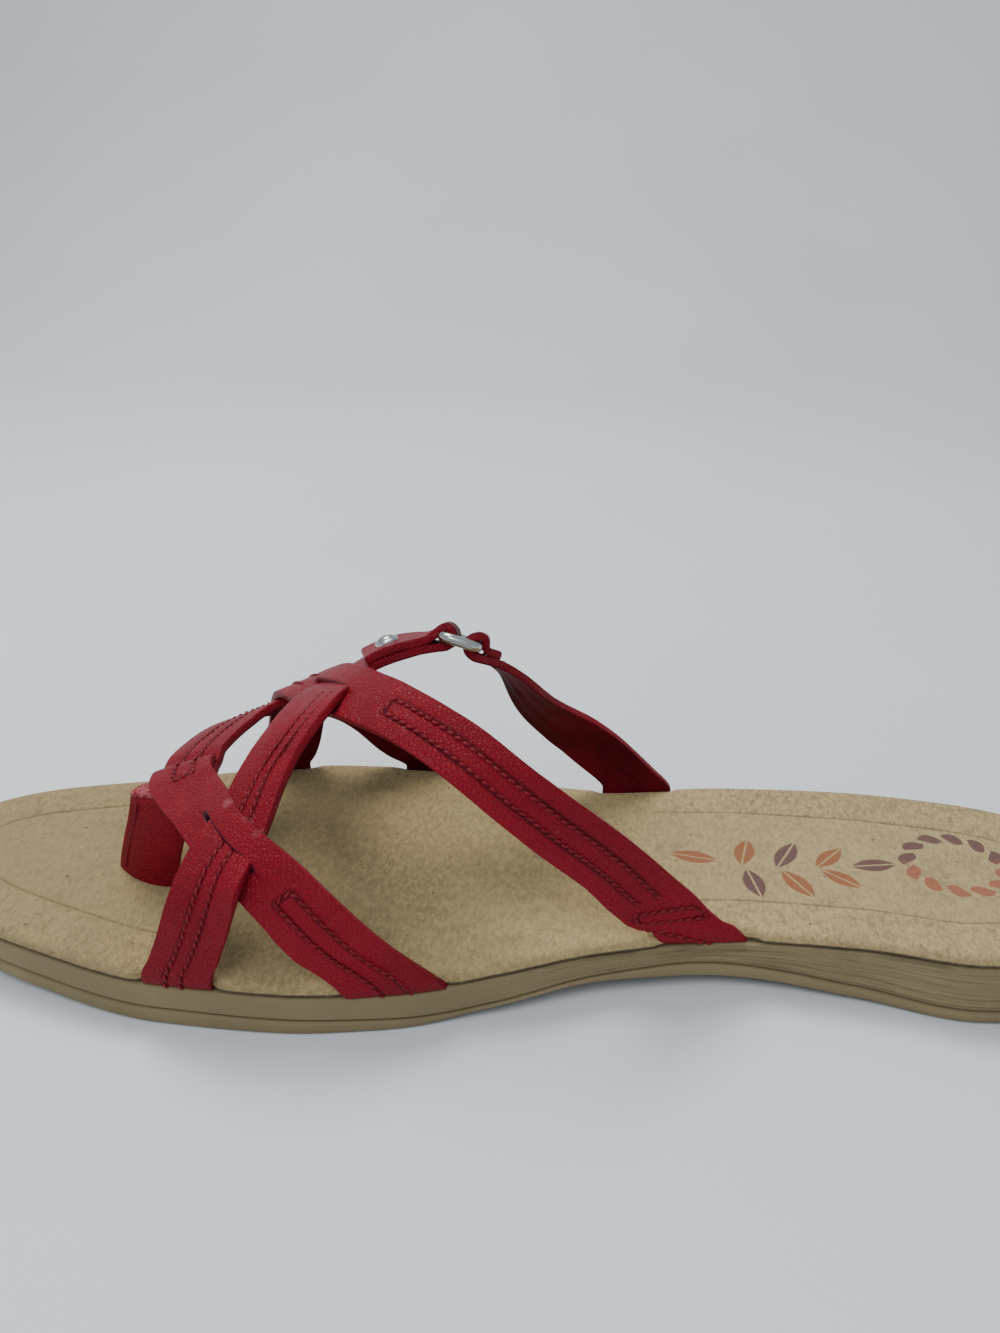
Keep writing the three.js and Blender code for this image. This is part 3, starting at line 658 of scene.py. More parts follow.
def dress(piece, *materials, slot, replaces=(), smooth_angle=60):
    """Gives a finished piece its materials, shading, body and the nodes it stands for."""
    only(piece)
    while len(piece.data.materials) < len(materials):
        piece.data.materials.append(None)
    for index, material in enumerate(materials):
        piece.data.materials[index] = material
    bpy.ops.object.shade_smooth_by_angle(angle=math.radians(smooth_angle))
    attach(piece, "root")
    if replaces:
        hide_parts(*replaces)
    deselect()


def copies(name, template, placings):
    """One mesh of many copies of a small shape, each at its own place."""
    source = template.data
    points = np.array([tuple(v.co) for v in source.vertices])
    faces = [tuple(p.vertices) for p in source.polygons]
    vertices, polygons = [], []
    for matrix in placings:
        base = len(vertices)
        m = np.array(matrix)
        vertices += [tuple(p) for p in points @ m[:3, :3].T + m[:3, 3]]
        polygons += [tuple(base + i for i in face) for face in faces]
    mesh = bpy.data.meshes.new(name)
    mesh.from_pydata(vertices, [], polygons)
    mesh.update()
    piece = bpy.data.objects.new(name, mesh)
    bpy.context.scene.collection.objects.link(piece)
    bpy.data.objects.remove(template)
    return piece


# Points along each side of the sole's outline
OUTLINE_STEPS = 190


def loft(name, form, rings):
    """A closed body through rings round the sole: each gives an inset, a height, how far it is drawn in
    to the sole's middle, and a mark for the material to read."""
    along, x, y, inward = form.outline(OUTLINE_STEPS)
    around = 2 * OUTLINE_STEPS
    index = np.arange(around)
    partner = (around - index) % around
    count = len(rings)
    piece, column, row = sheet_from_grid(name, around + 1, count)
    grid = np.zeros((around + 1, count, 3))
    for k, (inset, height, spine, _) in enumerate(rings):
        inset_at = inset(along, index) if callable(inset) else inset
        px = x + inward[:, 0] * inset_at
        py = y + inward[:, 1] * inset_at
        if spine:
            px = px + ((px + px[partner]) / 2 - px) * spine
            py = py + ((py + py[partner]) / 2 - py) * spine
        points = np.stack([px, py, height(along, py, inset_at)], -1)
        grid[:-1, k], grid[-1, k] = points, points[0]
    shape(piece, placed(form, grid[column, row]))
    mark(piece, "mark", np.array([ring[3] for ring in rings], float)[row])
    weld(piece)
    return piece


def wavy(along, seed, scale):
    """An uneven wave along the sole."""
    return np.array([noise.noise(Vector((a * scale, seed * 7.3, 0.0))) for a in np.atleast_1d(along)])


# How far inside the edge the sole's flat faces begin
FACE_INSET = 12 * MM
GROOVE_DEPTH = 0.9 * MM
# The groove's section: how far over its middle, as a share of the sole's thickness, and how deep
GROOVE_SECTION = (
    (-0.06, 0.02), (-0.04, 0.2), (-0.022, 0.7), (0, 1), (0.02, 0.75), (0.035, 0.45), (0.05, 0.3),
)
GROOVE_SPREAD = 0.025
RIBS = 9
STEPS_PER_RIB = 4
# The ribs start over the groove and end under the footbed, as shares of the sole's thickness
RIB_START = 0.07
RIB_END = 0.95
RIB_WANDER = 0.12
RIB_CREST = 0.22 * MM
RIB_DEPTH = 0.3 * MM


def make_outsole(form):
    """The moulded sole: a smooth welt under a groove, and fine grain-like ribs over it at the waist
    and heel."""

    def height(share):
        return lambda along, y, _: form.sole_bottom(along, y) + form.thickness(along) * share

    def groove(offset):
        def at(along, y, _):
            share = form.groove(along) + offset
            return form.sole_bottom(along, y) + form.thickness(along) * share

        return at

    def rib_height(t, rib):
        def at(along, y, _):
            low = form.groove(along) + RIB_START
            wander = RIB_WANDER / RIBS * wavy(along, rib + 1, 34) * (0 < t < 1)
            share = low + (RIB_END - low) * (t + wander)
            return form.sole_bottom(along, y) + form.thickness(along) * share

        return at

    def rib_inset(t, rib, valley):
        def at(along, _):
            present = ease(along, 0.5, 0.66) * (0 < t < 1)
            wear_and_shade = np.clip(0.6 + 0.7 * wavy(along, rib + 20, 90), 0.15, 1.2)
            return RIB_CREST + RIB_DEPTH * valley * present * wear_and_shade

        return at

    rings = [(FACE_INSET, height(0), spine, 0) for spine in (1, 0.5, 0)]
    for inset, share in ((4, 0), (1.4, 0), (0.7, 0.012), (0.25, 0.045), (0.06, 0.1)):
        rings.append((inset * MM, height(share), 0, 0))
    rings.append((0, groove(-0.1), 0, 0))
    for offset, depth in GROOVE_SECTION:
        # The groove's mark lets the material paint shade in it
        rings.append((depth * GROOVE_DEPTH, groove(offset), 0, -bell(offset, 0, GROOVE_SPREAD)))
    for step in range(RIBS * STEPS_PER_RIB + 1):
        t = step / (RIBS * STEPS_PER_RIB)
        rib = step // STEPS_PER_RIB
        valley = 0.5 + 0.5 * math.cos(2 * math.pi * step / STEPS_PER_RIB)
        rings.append((rib_inset(t, rib, valley), rib_height(t, rib), 0, 0.01 + t))
    rings += [(0.4 * MM, height(0.975), 0, 1), (0.9 * MM, height(1), 0, 1), (3 * MM, height(1), 0, 0)]
    rings += [(FACE_INSET, height(1), spine, 0) for spine in (0, 0.5, 1)]
    return loft("outsole_rubber", form, rings)


# Which side, where along the sole and over what half share of its length each strap meets it
STRAP_BASES = (
    (-1, 0.266, 0.0265), (-1, 0.427, 0.035), (-1, 0.659, 0.032),
    (1, 0.424, 0.034), (1, 0.268, 0.028), (1, 0.616, 0.033),
)


# How far in from the edge the embossed line runs, in millimetres
LINE_INSET = 12.8
# The line's section: how deep it is, at how far from its middle, in millimetres
LINE_SECTION = ((0, -1.4), (0, -0.6), (0.16, -0.25), (0.34, 0), (0.16, 0.25), (0, 0.6), (0, 1.4))
# How far in from the edge the footbed's border ends, in millimetres
BORDER = 16
DISH_DEPTH = 1.1 * MM
NAP_RELIEF = 0.05 * MM
BASE_PRESS = 1.3 * MM


def make_footbed(form):
    """The suede footbed: wrapped edge, a dished heel and an embossed line round its border."""
    thick = form.sizes.footbed_thickness

    def height(share, dip=0.0, down=0.0):
        def at(along, y, _):
            cup = DISH_DEPTH * (0.25 + ease(along, 0.55, 0.85))
            rough = NAP_RELIEF * wavy(along, share * 3 + dip, 150)
            line = down * (1 - 0.9 * ease(along, 0.24, 0.32) * (1 - ease(along, 0.6, 0.68)))
            return form.sole_top(along, y) + CLEARANCE + thick * share - dip * cup - line + rough

        return at

    def pressed(along, index):
        """How far the edge is pressed in where a strap goes over it."""
        side = np.where(index <= OUTLINE_STEPS, -1, 1)
        amount = np.zeros(len(along))
        for strap_side, middle, half in STRAP_BASES:
            here = 1 - ease(np.abs(along - middle), half, half + 0.008)
            amount = np.maximum(amount, here * (side == strap_side))
        return amount * BASE_PRESS

    def edge(base, amount=0.0, seed=0):
        def at(along, index):
            rough = amount * (wavy(along, seed, 260) + 0.5 * wavy(along, seed + 3, 700)) if amount else 0
            return base + rough + pressed(along, index)

        return at

    rings = [(FACE_INSET, height(0), 1, 0), (FACE_INSET, height(0), 0, 0), (1.6 * MM, height(0), 0, 0)]
    for inset, rough, seed, share, shown in (
        (0.5, 0.2, 1, 0.03, 0), (0.18, 0.14, 2, 0.16, 0), (0.2, 0.06, 3, 0.42, 0.8),
        (0.34, 0, 0, 0.6, 0.9), (0.6, 0, 0, 0.76, 1), (1.0, 0, 0, 0.88, 1.2),
        (1.6, 0, 0, 0.96, 1.6), (2.6, 0, 0, 1, 2.6),
    ):
        rings.append((edge(inset * MM, rough * MM, seed), height(share), 0, shown))
    inner = [(0, inset) for inset in (4.5, 6.5, 8.5, 10)]
    inner += [(down, LINE_INSET + offset) for down, offset in LINE_SECTION]
    for down, inset in inner + [(0, BORDER)]:
        rings.append((inset * MM, height(1, ease(inset, 2.6, BORDER) * 0.9, down * MM), 0, inset))
    for spine in (0.15, 0.3, 0.45, 0.6, 0.75, 0.9, 1):
        rings.append((BORDER * MM, height(1, 0.9 + 0.1 * spine), spine, BORDER))
    return loft("footbed_suede", form, rings)


# Where a strap's rows of points lie, as shares of its half width
ACROSS = np.array([
    -1, -0.965, -0.86, -0.7, -0.5, -0.36, -0.25, -0.14, -0.05,
    0.05, 0.14, 0.25, 0.36, 0.5, 0.7, 0.86, 0.965, 1,
])
# How far from a strap's middle its two rows of stitches run, as a share of its half width
ROW_OFFSET = 0.29
EDGE_ROUND = 0.16 * MM
SEAM_DEPTH = 0.3 * MM
SEAM_SPREAD = 0.6 * MM
RIPPLE = 0.13 * MM
# A slit takes out the faces this near the middle, and paints shade on the points this near, as shares
SLIT_FACES = 0.03
SLIT_POINTS = 0.06
SLIT_SHADE_BEYOND = 1 * MM
STITCH_SINK = 0.06 * MM
STITCH_TURN = 20


class Strap:
    """A strap's path, the heights of its face over it, its seams, slits and folded end. A seam is a
    line of knots, each given by its distance along the path and its share of the half width. A slit is
    given by its start, its end and how dark the painted shade at its edges is."""

    def __init__(self, path, thickness, lift=None, seams=(), slits=(), fold=0):
        self.path, self.thickness, self.lift = path, thickness, lift
        self.seams, self.slits = seams, slits
        self.fold_start = path.arc[-1] - fold if fold else math.inf

    def height(self, arc, across):
        height = EDGE_ROUND * (1 - np.abs(across) ** 3)
        return height + self.lift(arc, across) if self.lift else height

    def half_width(self, arc):
        return np.interp(arc, self.path.arc, self.path.width) / 2

    def pressed(self, arc, across):
        """How far a place is pressed in by the seams, from 0 to 1."""
        arc, across = np.broadcast_arrays(arc, across)
        aside = across * self.half_width(arc)
        nearest = np.full(arc.shape, 1.0)
        for seam in self.seams:
            knots = [(a, b * float(self.half_width(a))) for a, b in seam]
            for (a0, b0), (a1, b1) in zip(knots, knots[1:]):
                length = math.hypot(a1 - a0, b1 - b0)
                t = ((arc - a0) * (a1 - a0) + (aside - b0) * (b1 - b0)) / length**2
                t = np.clip(t, 0, 1)
                distance = np.hypot(arc - a0 - t * (a1 - a0), aside - b0 - t * (b1 - b0))
                nearest = np.minimum(nearest, distance)
        return bell(nearest, 0, SEAM_SPREAD)

    def sheet(self, name):
        """The strap's leather: a padded sheet with open slits, given its thickness and rounded."""
        path = self.path
        piece, column, row = sheet_from_grid(name, len(path.arc), len(ACROSS))
        across, arc = ACROSS[row], path.arc[column]
        spots = path.middle[column] + path.wide[column] * (across * path.width[column] / 2)[:, None]
        ripple = [noise.noise(Vector(p * 140)) + 0.5 * noise.noise(Vector(p * 330)) for p in spots]
        pressed = self.pressed(arc, across)
        height = self.height(arc, across) - pressed * SEAM_DEPTH + np.array(ripple) * RIPPLE
        shape(piece, spots + path.out[column] * height[:, None])
        wear_and_shade = np.zeros(len(arc))
        for start, end, slit_shade_amount in self.slits:
            here = (arc > start - SLIT_SHADE_BEYOND) * (arc < end + SLIT_SHADE_BEYOND)
            wear_and_shade = np.maximum(wear_and_shade, here * (np.abs(across) < SLIT_POINTS) * slit_shade_amount)
        # The material paints shade along the pressed seams
        mark(piece, "pressed", pressed)
        # The slit's edges get painted shade in the material
        mark(piece, "wear_and_shade", wear_and_shade)
        mark(piece, "folded", arc > self.fold_start)
        if self.slits:
            only(piece)
            bpy.ops.object.mode_set(mode="EDIT")
            bpy.ops.mesh.select_mode(type="FACE")
            bpy.ops.mesh.select_all(action="DESELECT")
            bpy.ops.object.mode_set(mode="OBJECT")
            for polygon in piece.data.polygons:
                corners = list(polygon.vertices)
                here = float(np.mean(arc[corners]))
                central = abs(float(np.mean(across[corners]))) < SLIT_FACES
                polygon.select = central and any(start < here < end for start, end, _ in self.slits)
            bpy.ops.object.mode_set(mode="EDIT")
            bpy.ops.mesh.delete(type="FACE")
            bpy.ops.object.mode_set(mode="OBJECT")
        only(piece)
        bpy.ops.object.mode_set(mode="EDIT")
        bpy.ops.mesh.select_all(action="SELECT")
        bpy.ops.mesh.flip_normals()
        bpy.ops.object.mode_set(mode="OBJECT")
        piece.data.materials.append(None)
        piece.data.materials.append(None)
        modify(
            piece, "SOLIDIFY",
            thickness=self.thickness, offset=0, use_even_offset=False, material_offset=1,
        )
        modify(piece, "SUBSURF", levels=1, render_levels=1)
        folded = piece.data.attributes["folded"].data
        # The folded end shows its grain side on both faces
        for polygon in piece.data.polygons:
            if all(folded[corner].value > 0.5 for corner in polygon.vertices):
                polygon.material_index = 0
        return piece

    def stitches(self, seam, sizes):
        """Where each stitch of a seam lies: on the strap, a little turned from the seam's line."""
        arcs, shares = np.array(seam).T
        lengths = np.hypot(np.diff(arcs), np.diff(shares * self.half_width(arcs)))
        travelled = np.concatenate([[0], np.cumsum(lengths)])
        count = max(2, round(travelled[-1] / sizes.stitch_pitch) + 1)
        steps = np.linspace(0, travelled[-1], count)
        arc, across = np.interp(steps, travelled, arcs), np.interp(steps, travelled, shares)
        lift = self.height(arc, across) + self.thickness / 2 - STITCH_SINK
        points, _, out = self.path.at(arc, across, lift[:, None])
        run = unit(np.gradient(points, axis=0))
        places = []
        for point, x, z in zip(points, run, out):
            x = turned(x, z, STITCH_TURN)
            y = unit(np.cross(z, x))
            z = unit(np.cross(x, y))
            places.append(Matrix([[x[k], y[k], z[k], point[k]] for k in range(3)] + [[0, 0, 0, 1]]))
        return places


def flipped_up(path):
    """Turns a path's sections so that their outer face points away from the foot."""
    middle = len(path.arc) // 3
    if path.out[middle][2] < 0:
        path.wide = -path.wide
        path.finish()
    return path


class Shading:
    """A socket's value in a material. Sums with it are made as Math nodes."""

    def __init__(self, finish, socket):
        self.finish, self.socket = finish, socket

    def maths(self, operation, *others):
        inputs = dict(enumerate((self, *others)))
        return self.finish.node("ShaderNodeMath", {"operation": operation}, inputs)

    def __add__(self, other):
        return self.maths("ADD", other)

    __radd__ = __add__

    def __mul__(self, other):
        return self.maths("MULTIPLY", other)

    def __sub__(self, other):
        return self.maths("SUBTRACT", other)

    def __rsub__(self, other):
        return self.finish.node("ShaderNodeMath", {"operation": "SUBTRACT"}, {0: other, 1: self})

    def __pow__(self, other):
        return self.maths("POWER", other)

    def size(self):
        return self.maths("ABSOLUTE")

    def step(self, low, high):
        """0 below low, 1 above high, and smooth between them. low above high turns it round."""
        flip = low > high
        low, high = min(low, high), max(low, high)
        eased = self.finish.node(
            "ShaderNodeMapRange",
            {"interpolation_type": "SMOOTHSTEP"},
            {"Value": self, "From Min": low, "From Max": high},
        )
        return 1 - eased if flip else eased


class Finish:
    """A material in the making."""

    def __init__(self, name, roughness=0.5, **constants):
        self.material = bpy.data.materials.new(name)
        self.material.use_nodes = True
        self.tree = self.material.node_tree
        self.tree.nodes.clear()
        self.output = self.tree.nodes.new("ShaderNodeOutputMaterial")
        self.shader = self.tree.nodes.new("ShaderNodeBsdfPrincipled")
        self.tree.links.new(self.shader.outputs[0], self.output.inputs[0])
        self.set("Roughness", roughness)
        for key, value in constants.items():
            self.set(key.replace("_", " "), value)
        coordinates = self.tree.nodes.new("ShaderNodeTexCoord")
        self.place = Shading(self, coordinates.outputs["Object"])

    def fill(self, socket, value):
        """Links a socket to a value, or sets it to a constant."""
        if isinstance(value, Shading):
            self.tree.links.new(value.socket, socket)
        else:
            socket.default_value = value

    def node(self, kind, settings, inputs, output=0):
        made = self.tree.nodes.new(kind)
        for key, value in settings.items():
            setattr(made, key, value)
        for key, value in inputs.items():
            self.fill(made.inputs[key], value)
        return Shading(self, made.outputs[output])

    def set(self, name, value):
        self.fill(self.shader.inputs[name], value)

    def noise(self, scale, detail=3.0, roughness=0.55, stretch=None, distortion=0.0, place=None):
        inputs = {"Vector": place or self.place, "Scale": scale}
        if stretch:
            inputs["Vector"] = self.node(
                "ShaderNodeMapping", {}, {"Vector": self.place, "Scale": stretch}
            )
        inputs.update({"Detail": detail, "Roughness": roughness, "Distortion": distortion})
        return self.node("ShaderNodeTexNoise", {}, inputs)

    def cells(self, scale, feature="F1"):
        inputs = {"Vector": self.place, "Scale": scale}
        return self.node("ShaderNodeTexVoronoi", {"feature": feature}, inputs, "Distance")

    def mix(self, factor, first, second):
        """Two colours mixed. In the Mix node, colours are inputs 6 and 7 and output 2."""
        inputs = {"Factor": factor}
        for key, colour in ((6, first), (7, second)):
            inputs[key] = colour if isinstance(colour, Shading) else (*colour, 1)
        return self.node("ShaderNodeMix", {"data_type": "RGBA"}, inputs, 2)

    def bump(self, height, distance, strength, normal=None):
        inputs = {"Height": height, "Distance": distance, "Strength": strength}
        if normal is not None:
            inputs["Normal"] = normal
        return self.node("ShaderNodeBump", {}, inputs)

    def attribute(self, name):
        return self.node("ShaderNodeAttribute", {"attribute_name": name}, {}, "Fac")

    def parts(self):
        """The place's first two coordinates."""
        return [self.node("ShaderNodeSeparateXYZ", {}, {0: self.place}, k) for k in range(2)]


def shade(colour, factor):
    """A colour made darker or lighter."""
    return tuple(min(1, c * factor) for c in colour)


# The first colour is the painted shade at the slits' edges
SLIT_SHADE = (0.045, 0.014, 0.026)
SCUFF = (0.42, 0.09, 0.11)
RUBBED_COLOUR = (0.5, 0.2, 0.22)
RAW_FIBRE = (0.4, 0.12, 0.13)
# Places where the leather is rubbed pale, in millimetres
RUBBED = ((-56.1, -27.8, 43.4), (-51.1, -32.4, 42.6), (-48.2, -35.6, 41.4), (51.5, -22.6, 11.2))


def leather_finish(colours, form):
    made = Finish("red_grain_leather", Specular_IOR_Level=0.15)
    base = tuple(colours.leather)
    broad = made.noise(38, 3)
    mottled = made.noise(260, 4, 0.6)
    creases = made.cells(1150, "DISTANCE_TO_EDGE")
    scuffs = made.noise(700, 2, 0.7)
    tone = made.mix(broad.step(0.35, 0.68), shade(base, 0.86), shade(base, 1.1))
    tone = made.mix(mottled.step(0.45, 0.75) * 0.3, tone, shade(base, 1.45))
    tone = made.mix(creases.step(0.1, 0.0) * 0.4, tone, shade(base, 0.45))
    tone = made.mix(scuffs.step(0.7, 0.78) * 0.2, tone, SCUFF)
    # Painted shade: the leather is darkened along the pressed grooves of the seams
    tone = made.mix(made.attribute("pressed").step(0.1, 0.75) * 0.8, tone, shade(base, 0.24))
    # Painted shade along the slits' edges, where a strap passes under
    tone = made.mix(made.attribute("wear_and_shade").step(0.1, 0.6) * (0.5 + scuffs * 0.8), tone, SLIT_SHADE)
    for place in RUBBED:
        inputs = {0: made.place, 1: placed(form, np.array(place) * MM)}
        near = made.node("ShaderNodeVectorMath", {"operation": "DISTANCE"}, inputs, "Value")
        rubbed = near.step(0.0021, 0.0003) * mottled.step(0.35, 0.6) * 0.7
        tone = made.mix(rubbed, tone, RUBBED_COLOUR)
    made.set("Base Color", tone)
    made.set("Roughness", 0.34 + broad * 0.14 + mottled * 0.12)
    grain = creases.step(0.0, 0.24) * 0.7 + mottled * 0.5
    wrinkles = made.noise(120, 5, 0.65, distortion=0.4)
    made.set("Normal", made.bump(grain, 0.0003, 0.75, made.bump(wrinkles, 0.0007, 0.45)))
    return made.material


def raw_finish(colours):
    made = Finish("raw_leather_edge", 0.8, Specular_IOR_Level=0.2)
    base = tuple(colours.leather)
    fibre = made.noise(1200, 3, 0.7)
    made.set("Base Color", made.mix(fibre.step(0.35, 0.65), shade(base, 0.9), RAW_FIBRE))
    made.set("Normal", made.bump(fibre, 0.0004, 0.7))
    return made.material


def lining_finish(colours):
    made = Finish("dark_red_lining", Specular_IOR_Level=0.12)
    base = tuple(colours.lining)
    soft = made.noise(90, 4)
    fine = made.noise(1500, 2)
    tone = made.mix(soft.step(0.3, 0.7), shade(base, 0.75), shade(base, 1.5))
    made.set("Base Color", tone)
    made.set("Roughness", 0.55 + soft * 0.15)
    made.set("Normal", made.bump(fine + soft * 0.5, 0.0002, 0.4))
    return made.material


def thread_finish(colours):
    made = Finish("tonal_thread", Specular_IOR_Level=0.2)
    base = tuple(colours.thread)
    ply = made.noise(2400, 2)
    made.set("Base Color", made.mix(ply.step(0.35, 0.65), shade(base, 0.7), shade(base, 1.5)))
    made.set("Roughness", 0.3 + ply * 0.2)
    made.set("Normal", made.bump(ply, 0.0002, 0.6))
    return made.material


RUST = (0.32, 0.085, 0.035)
PLUM = (0.1, 0.032, 0.05)
CORAL = (0.36, 0.095, 0.055)

# A sprig of leaves: where each starts, the way it points, its length and half width, and its colour
SPRIG = table(
    "x y angle length half colour",
    (50, 2, 165, 12, 2.7, RUST), (55, 0, 75, 12, 2.6, RUST), (56, -1, -82, 12, 2.6, PLUM),
    (63, -1, 60, 12.5, 2.6, PLUM), (64, -1.5, -64, 12.5, 2.6, RUST), (72, -1, 46, 11, 2.4, RUST),
    (73, -1.5, -44, 11, 2.4, RUST), (80, -0.5, 4, 11, 2.5, PLUM),
)
# A ring of leaves: its middle and radius, how many leaves, and their half width
WREATH = {"x": 104, "y": 0, "radius": 10.5, "leaves": 12, "half": 2.3}
PRESSED_SUEDE = (0.46, 0.36, 0.19)
WARM_SUEDE = (0.5, 0.315, 0.185)
SPECK = (0.07, 0.05, 0.035)
SUEDE_EDGE = (0.05, 0.035, 0.02)


def suede_tone(made, base, x):
    """The suede's nap, dirt, embossed line and a painted shadow towards the toe."""
    broad = made.noise(22, 4)
    patches = made.noise(85, 4, 0.65)
    nap = made.noise(950, 4, 0.75, stretch=(1.0, 0.5, 1.0))
    fibre = made.noise(3000, 2, 0.7, stretch=(1.0, 0.3, 1.0))
    strokes = made.noise(260, 3, 0.6, stretch=(0.35, 1.0, 1.0))
    inset = made.attribute("mark")
    ends = x.step(-0.05, -0.075) + x.step(0.028, 0.05)
    border = inset.step(LINE_INSET + 0.3, LINE_INSET - 0.3) * ends
    line = (inset - LINE_INSET).size().step(0.5, 0.1) * ends
    tone = made.mix(broad.step(0.35, 0.65), shade(base, 0.88), shade(base, 1.08))
    tone = made.mix((ends - border) * 0.4, tone, PRESSED_SUEDE)
    tone = made.mix(border * patches.step(0.35, 0.65) * 0.4, tone, WARM_SUEDE)
    tone = made.mix(patches.step(0.5, 0.7) * 0.4, tone, shade(base, 0.68))
    tone = made.mix(strokes.step(0.5, 0.68) * 0.28, tone, shade(base, 0.62))
    tone = made.mix(nap.step(0.47, 0.6) * (0.45 + border * 0.2), tone, shade(base, 1.45))
    tone = made.mix(nap.step(0.46, 0.34) * (0.42 + border * 0.25), tone, shade(base, 0.48))
    tone = made.mix(fibre.step(0.55, 0.7) * 0.3, tone, shade(base, 0.55))
    tone = made.mix(line * (0.25 + patches * 0.5), tone, shade(base, 0.42))
    # Painted shadow: the suede is darker towards the toe
    tone = made.mix(x.step(-0.02, -0.085) * (0.25 + broad * 0.35), tone, shade(base, 0.55))
    tone = made.mix(made.cells(150).step(0.075, 0.04) * 0.75, tone, SPECK)
    tone = made.mix(inset.step(0.6, 0.15) * (0.55 + patches * 0.6), tone, SUEDE_EDGE)
    return tone, nap, nap + fibre * 0.6 + patches * 0.6


def sprig_tone(made, tone, x, y, ink):
    """The printed sprig of leaves, each with a bare vein along its middle."""
    for leaf in SPRIG:
        angle = math.radians(leaf["angle"])
        c, s = math.cos(angle), math.sin(angle)
        half_length = leaf["length"] / 2 * MM
        from_x = x - (leaf["x"] * MM + c * half_length)
        from_y = y - (leaf["y"] * MM + s * half_length)
        forward = from_x * (c / half_length) + from_y * (s / half_length)
        sideways = (from_y * c - from_x * s).size()
        body = (1 - forward * forward) * (leaf["half"] * MM) - sideways
        printed = body.step(0.0, 0.0004) * sideways.step(0.00012, 0.00035)
        tone = made.mix(printed * ink, tone, leaf["colour"])
    return tone


def wreath_tone(made, tone, x, y, ink):
    """The printed ring of small slanted leaves, plum in the far half and coral in the near half."""
    dx, dy = x - WREATH["x"] * MM, y - WREATH["y"] * MM
    radius = (dx * dx + dy * dy) ** 0.5
    turn = dy.maths("ARCTAN2", dx)
    cell = (turn * (WREATH["leaves"] / (2 * math.pi))).maths("FRACT") * 2 - 1
    offset = (radius - WREATH["radius"] * MM) * (1 / (WREATH["half"] * MM)) - cell * 0.5
    leaf = (1 - cell * cell) * 0.9 - offset.size()
    return made.mix(leaf.step(0.0, 0.15) * ink, tone, made.mix(dy.step(-0.003, 0.003), CORAL, PLUM))


def suede_finish(colours, form):
    made = Finish("tan_suede", 0.92, Specular_IOR_Level=0.2, Sheen_Weight=0.12, Sheen_Roughness=0.6)
    made.set("Sheen Tint", (0.9, 0.75, 0.55, 1))
    x, y = made.parts()
    tone, nap, fuzz = suede_tone(made, tuple(colours.suede), x)
    ink = 0.7 + nap * 0.3
    tone = sprig_tone(made, tone, x, y - form.shift, ink)
    made.set("Base Color", wreath_tone(made, tone, x, y - form.shift, ink))
    made.set("Normal", made.bump(fuzz, 0.0009, 0.9))
    return made.material


SOLE_DUST = (0.28, 0.235, 0.14)


def sole_finish(colours):
    made = Finish("olive_rubber", Specular_IOR_Level=0.35)
    base = tuple(colours.sole)
    broad = made.noise(30, 3)
    x, y = made.parts()
    level = made.attribute("mark")
    grained = x.step(-0.02, 0.02) * level.step(0.005, 0.03)
    sheet = made.node("ShaderNodeCombineXYZ", {}, {0: x * 0.02, 1: y * 0.02, 2: level * 0.01})
    grain = made.noise(1500, 4, 0.65, place=sheet)
    fine = made.noise(1300, 3, 0.6)
    dust = made.noise(160, 4, 0.6)
    tone = made.mix(broad.step(0.3, 0.7), shade(base, 0.9), shade(base, 1.1))
    tone = made.mix(grain.step(0.5, 0.62) * grained * 0.6, tone, shade(base, 0.48))
    tone = made.mix(grain.step(0.46, 0.34) * grained * 0.4, tone, shade(base, 1.4))
    tone = made.mix(dust.step(0.55, 0.75) * 0.25, tone, SOLE_DUST)
    # Painted shade: the rubber is darkened in the bottom of the side groove
    tone = made.mix(level.step(-0.2, -0.9) * 0.6, tone, shade(base, 0.35))
    made.set("Base Color", tone)
    made.set("Roughness", 0.6 + fine * 0.18)
    made.set("Normal", made.bump(grain * grained * 1.2 + fine * 0.3, 0.0005, 0.6))
    return made.material


def steel_finish(colours):
    made = Finish("polished_steel", Metallic=1.0)
    base = tuple(colours.steel)
    smudge = made.noise(300, 3)
    made.set("Base Color", made.mix(smudge.step(0.3, 0.7), shade(base, 0.9), base))
    made.set("Roughness", 0.12 + smudge * 0.14)
    made.set("Normal", made.bump(made.noise(1800, 2), 0.0001, 0.1))
    return made.material


finishes = {}


def finish(name):
    """The material of that name, made once."""
    if name not in finishes:
        colours = bpy.context.scene.sandal_colours
        form = Form(bpy.context.scene.sandal_sizes)
        makers = {
            "leather": lambda: leather_finish(colours, form),
            "raw": lambda: raw_finish(colours),
            "lining": lambda: lining_finish(colours),
            "thread": lambda: thread_finish(colours),
            "suede": lambda: suede_finish(colours, form),
            "sole": lambda: sole_finish(colours),
            "steel": lambda: steel_finish(colours),
        }
        finishes[name] = makers[name]()
    return finishes[name]


# From one layer of leather to the next
LAYER = 2.04 * MM
LONG_FOLD = 18 * MM
REAR_FOLD = 8 * MM
FOLD_END = 2 * MM


def place_on(form, along, across):
    """A place over the last, where the frame has the sole."""
    return placed(form, form.on_last(along, across)[0])


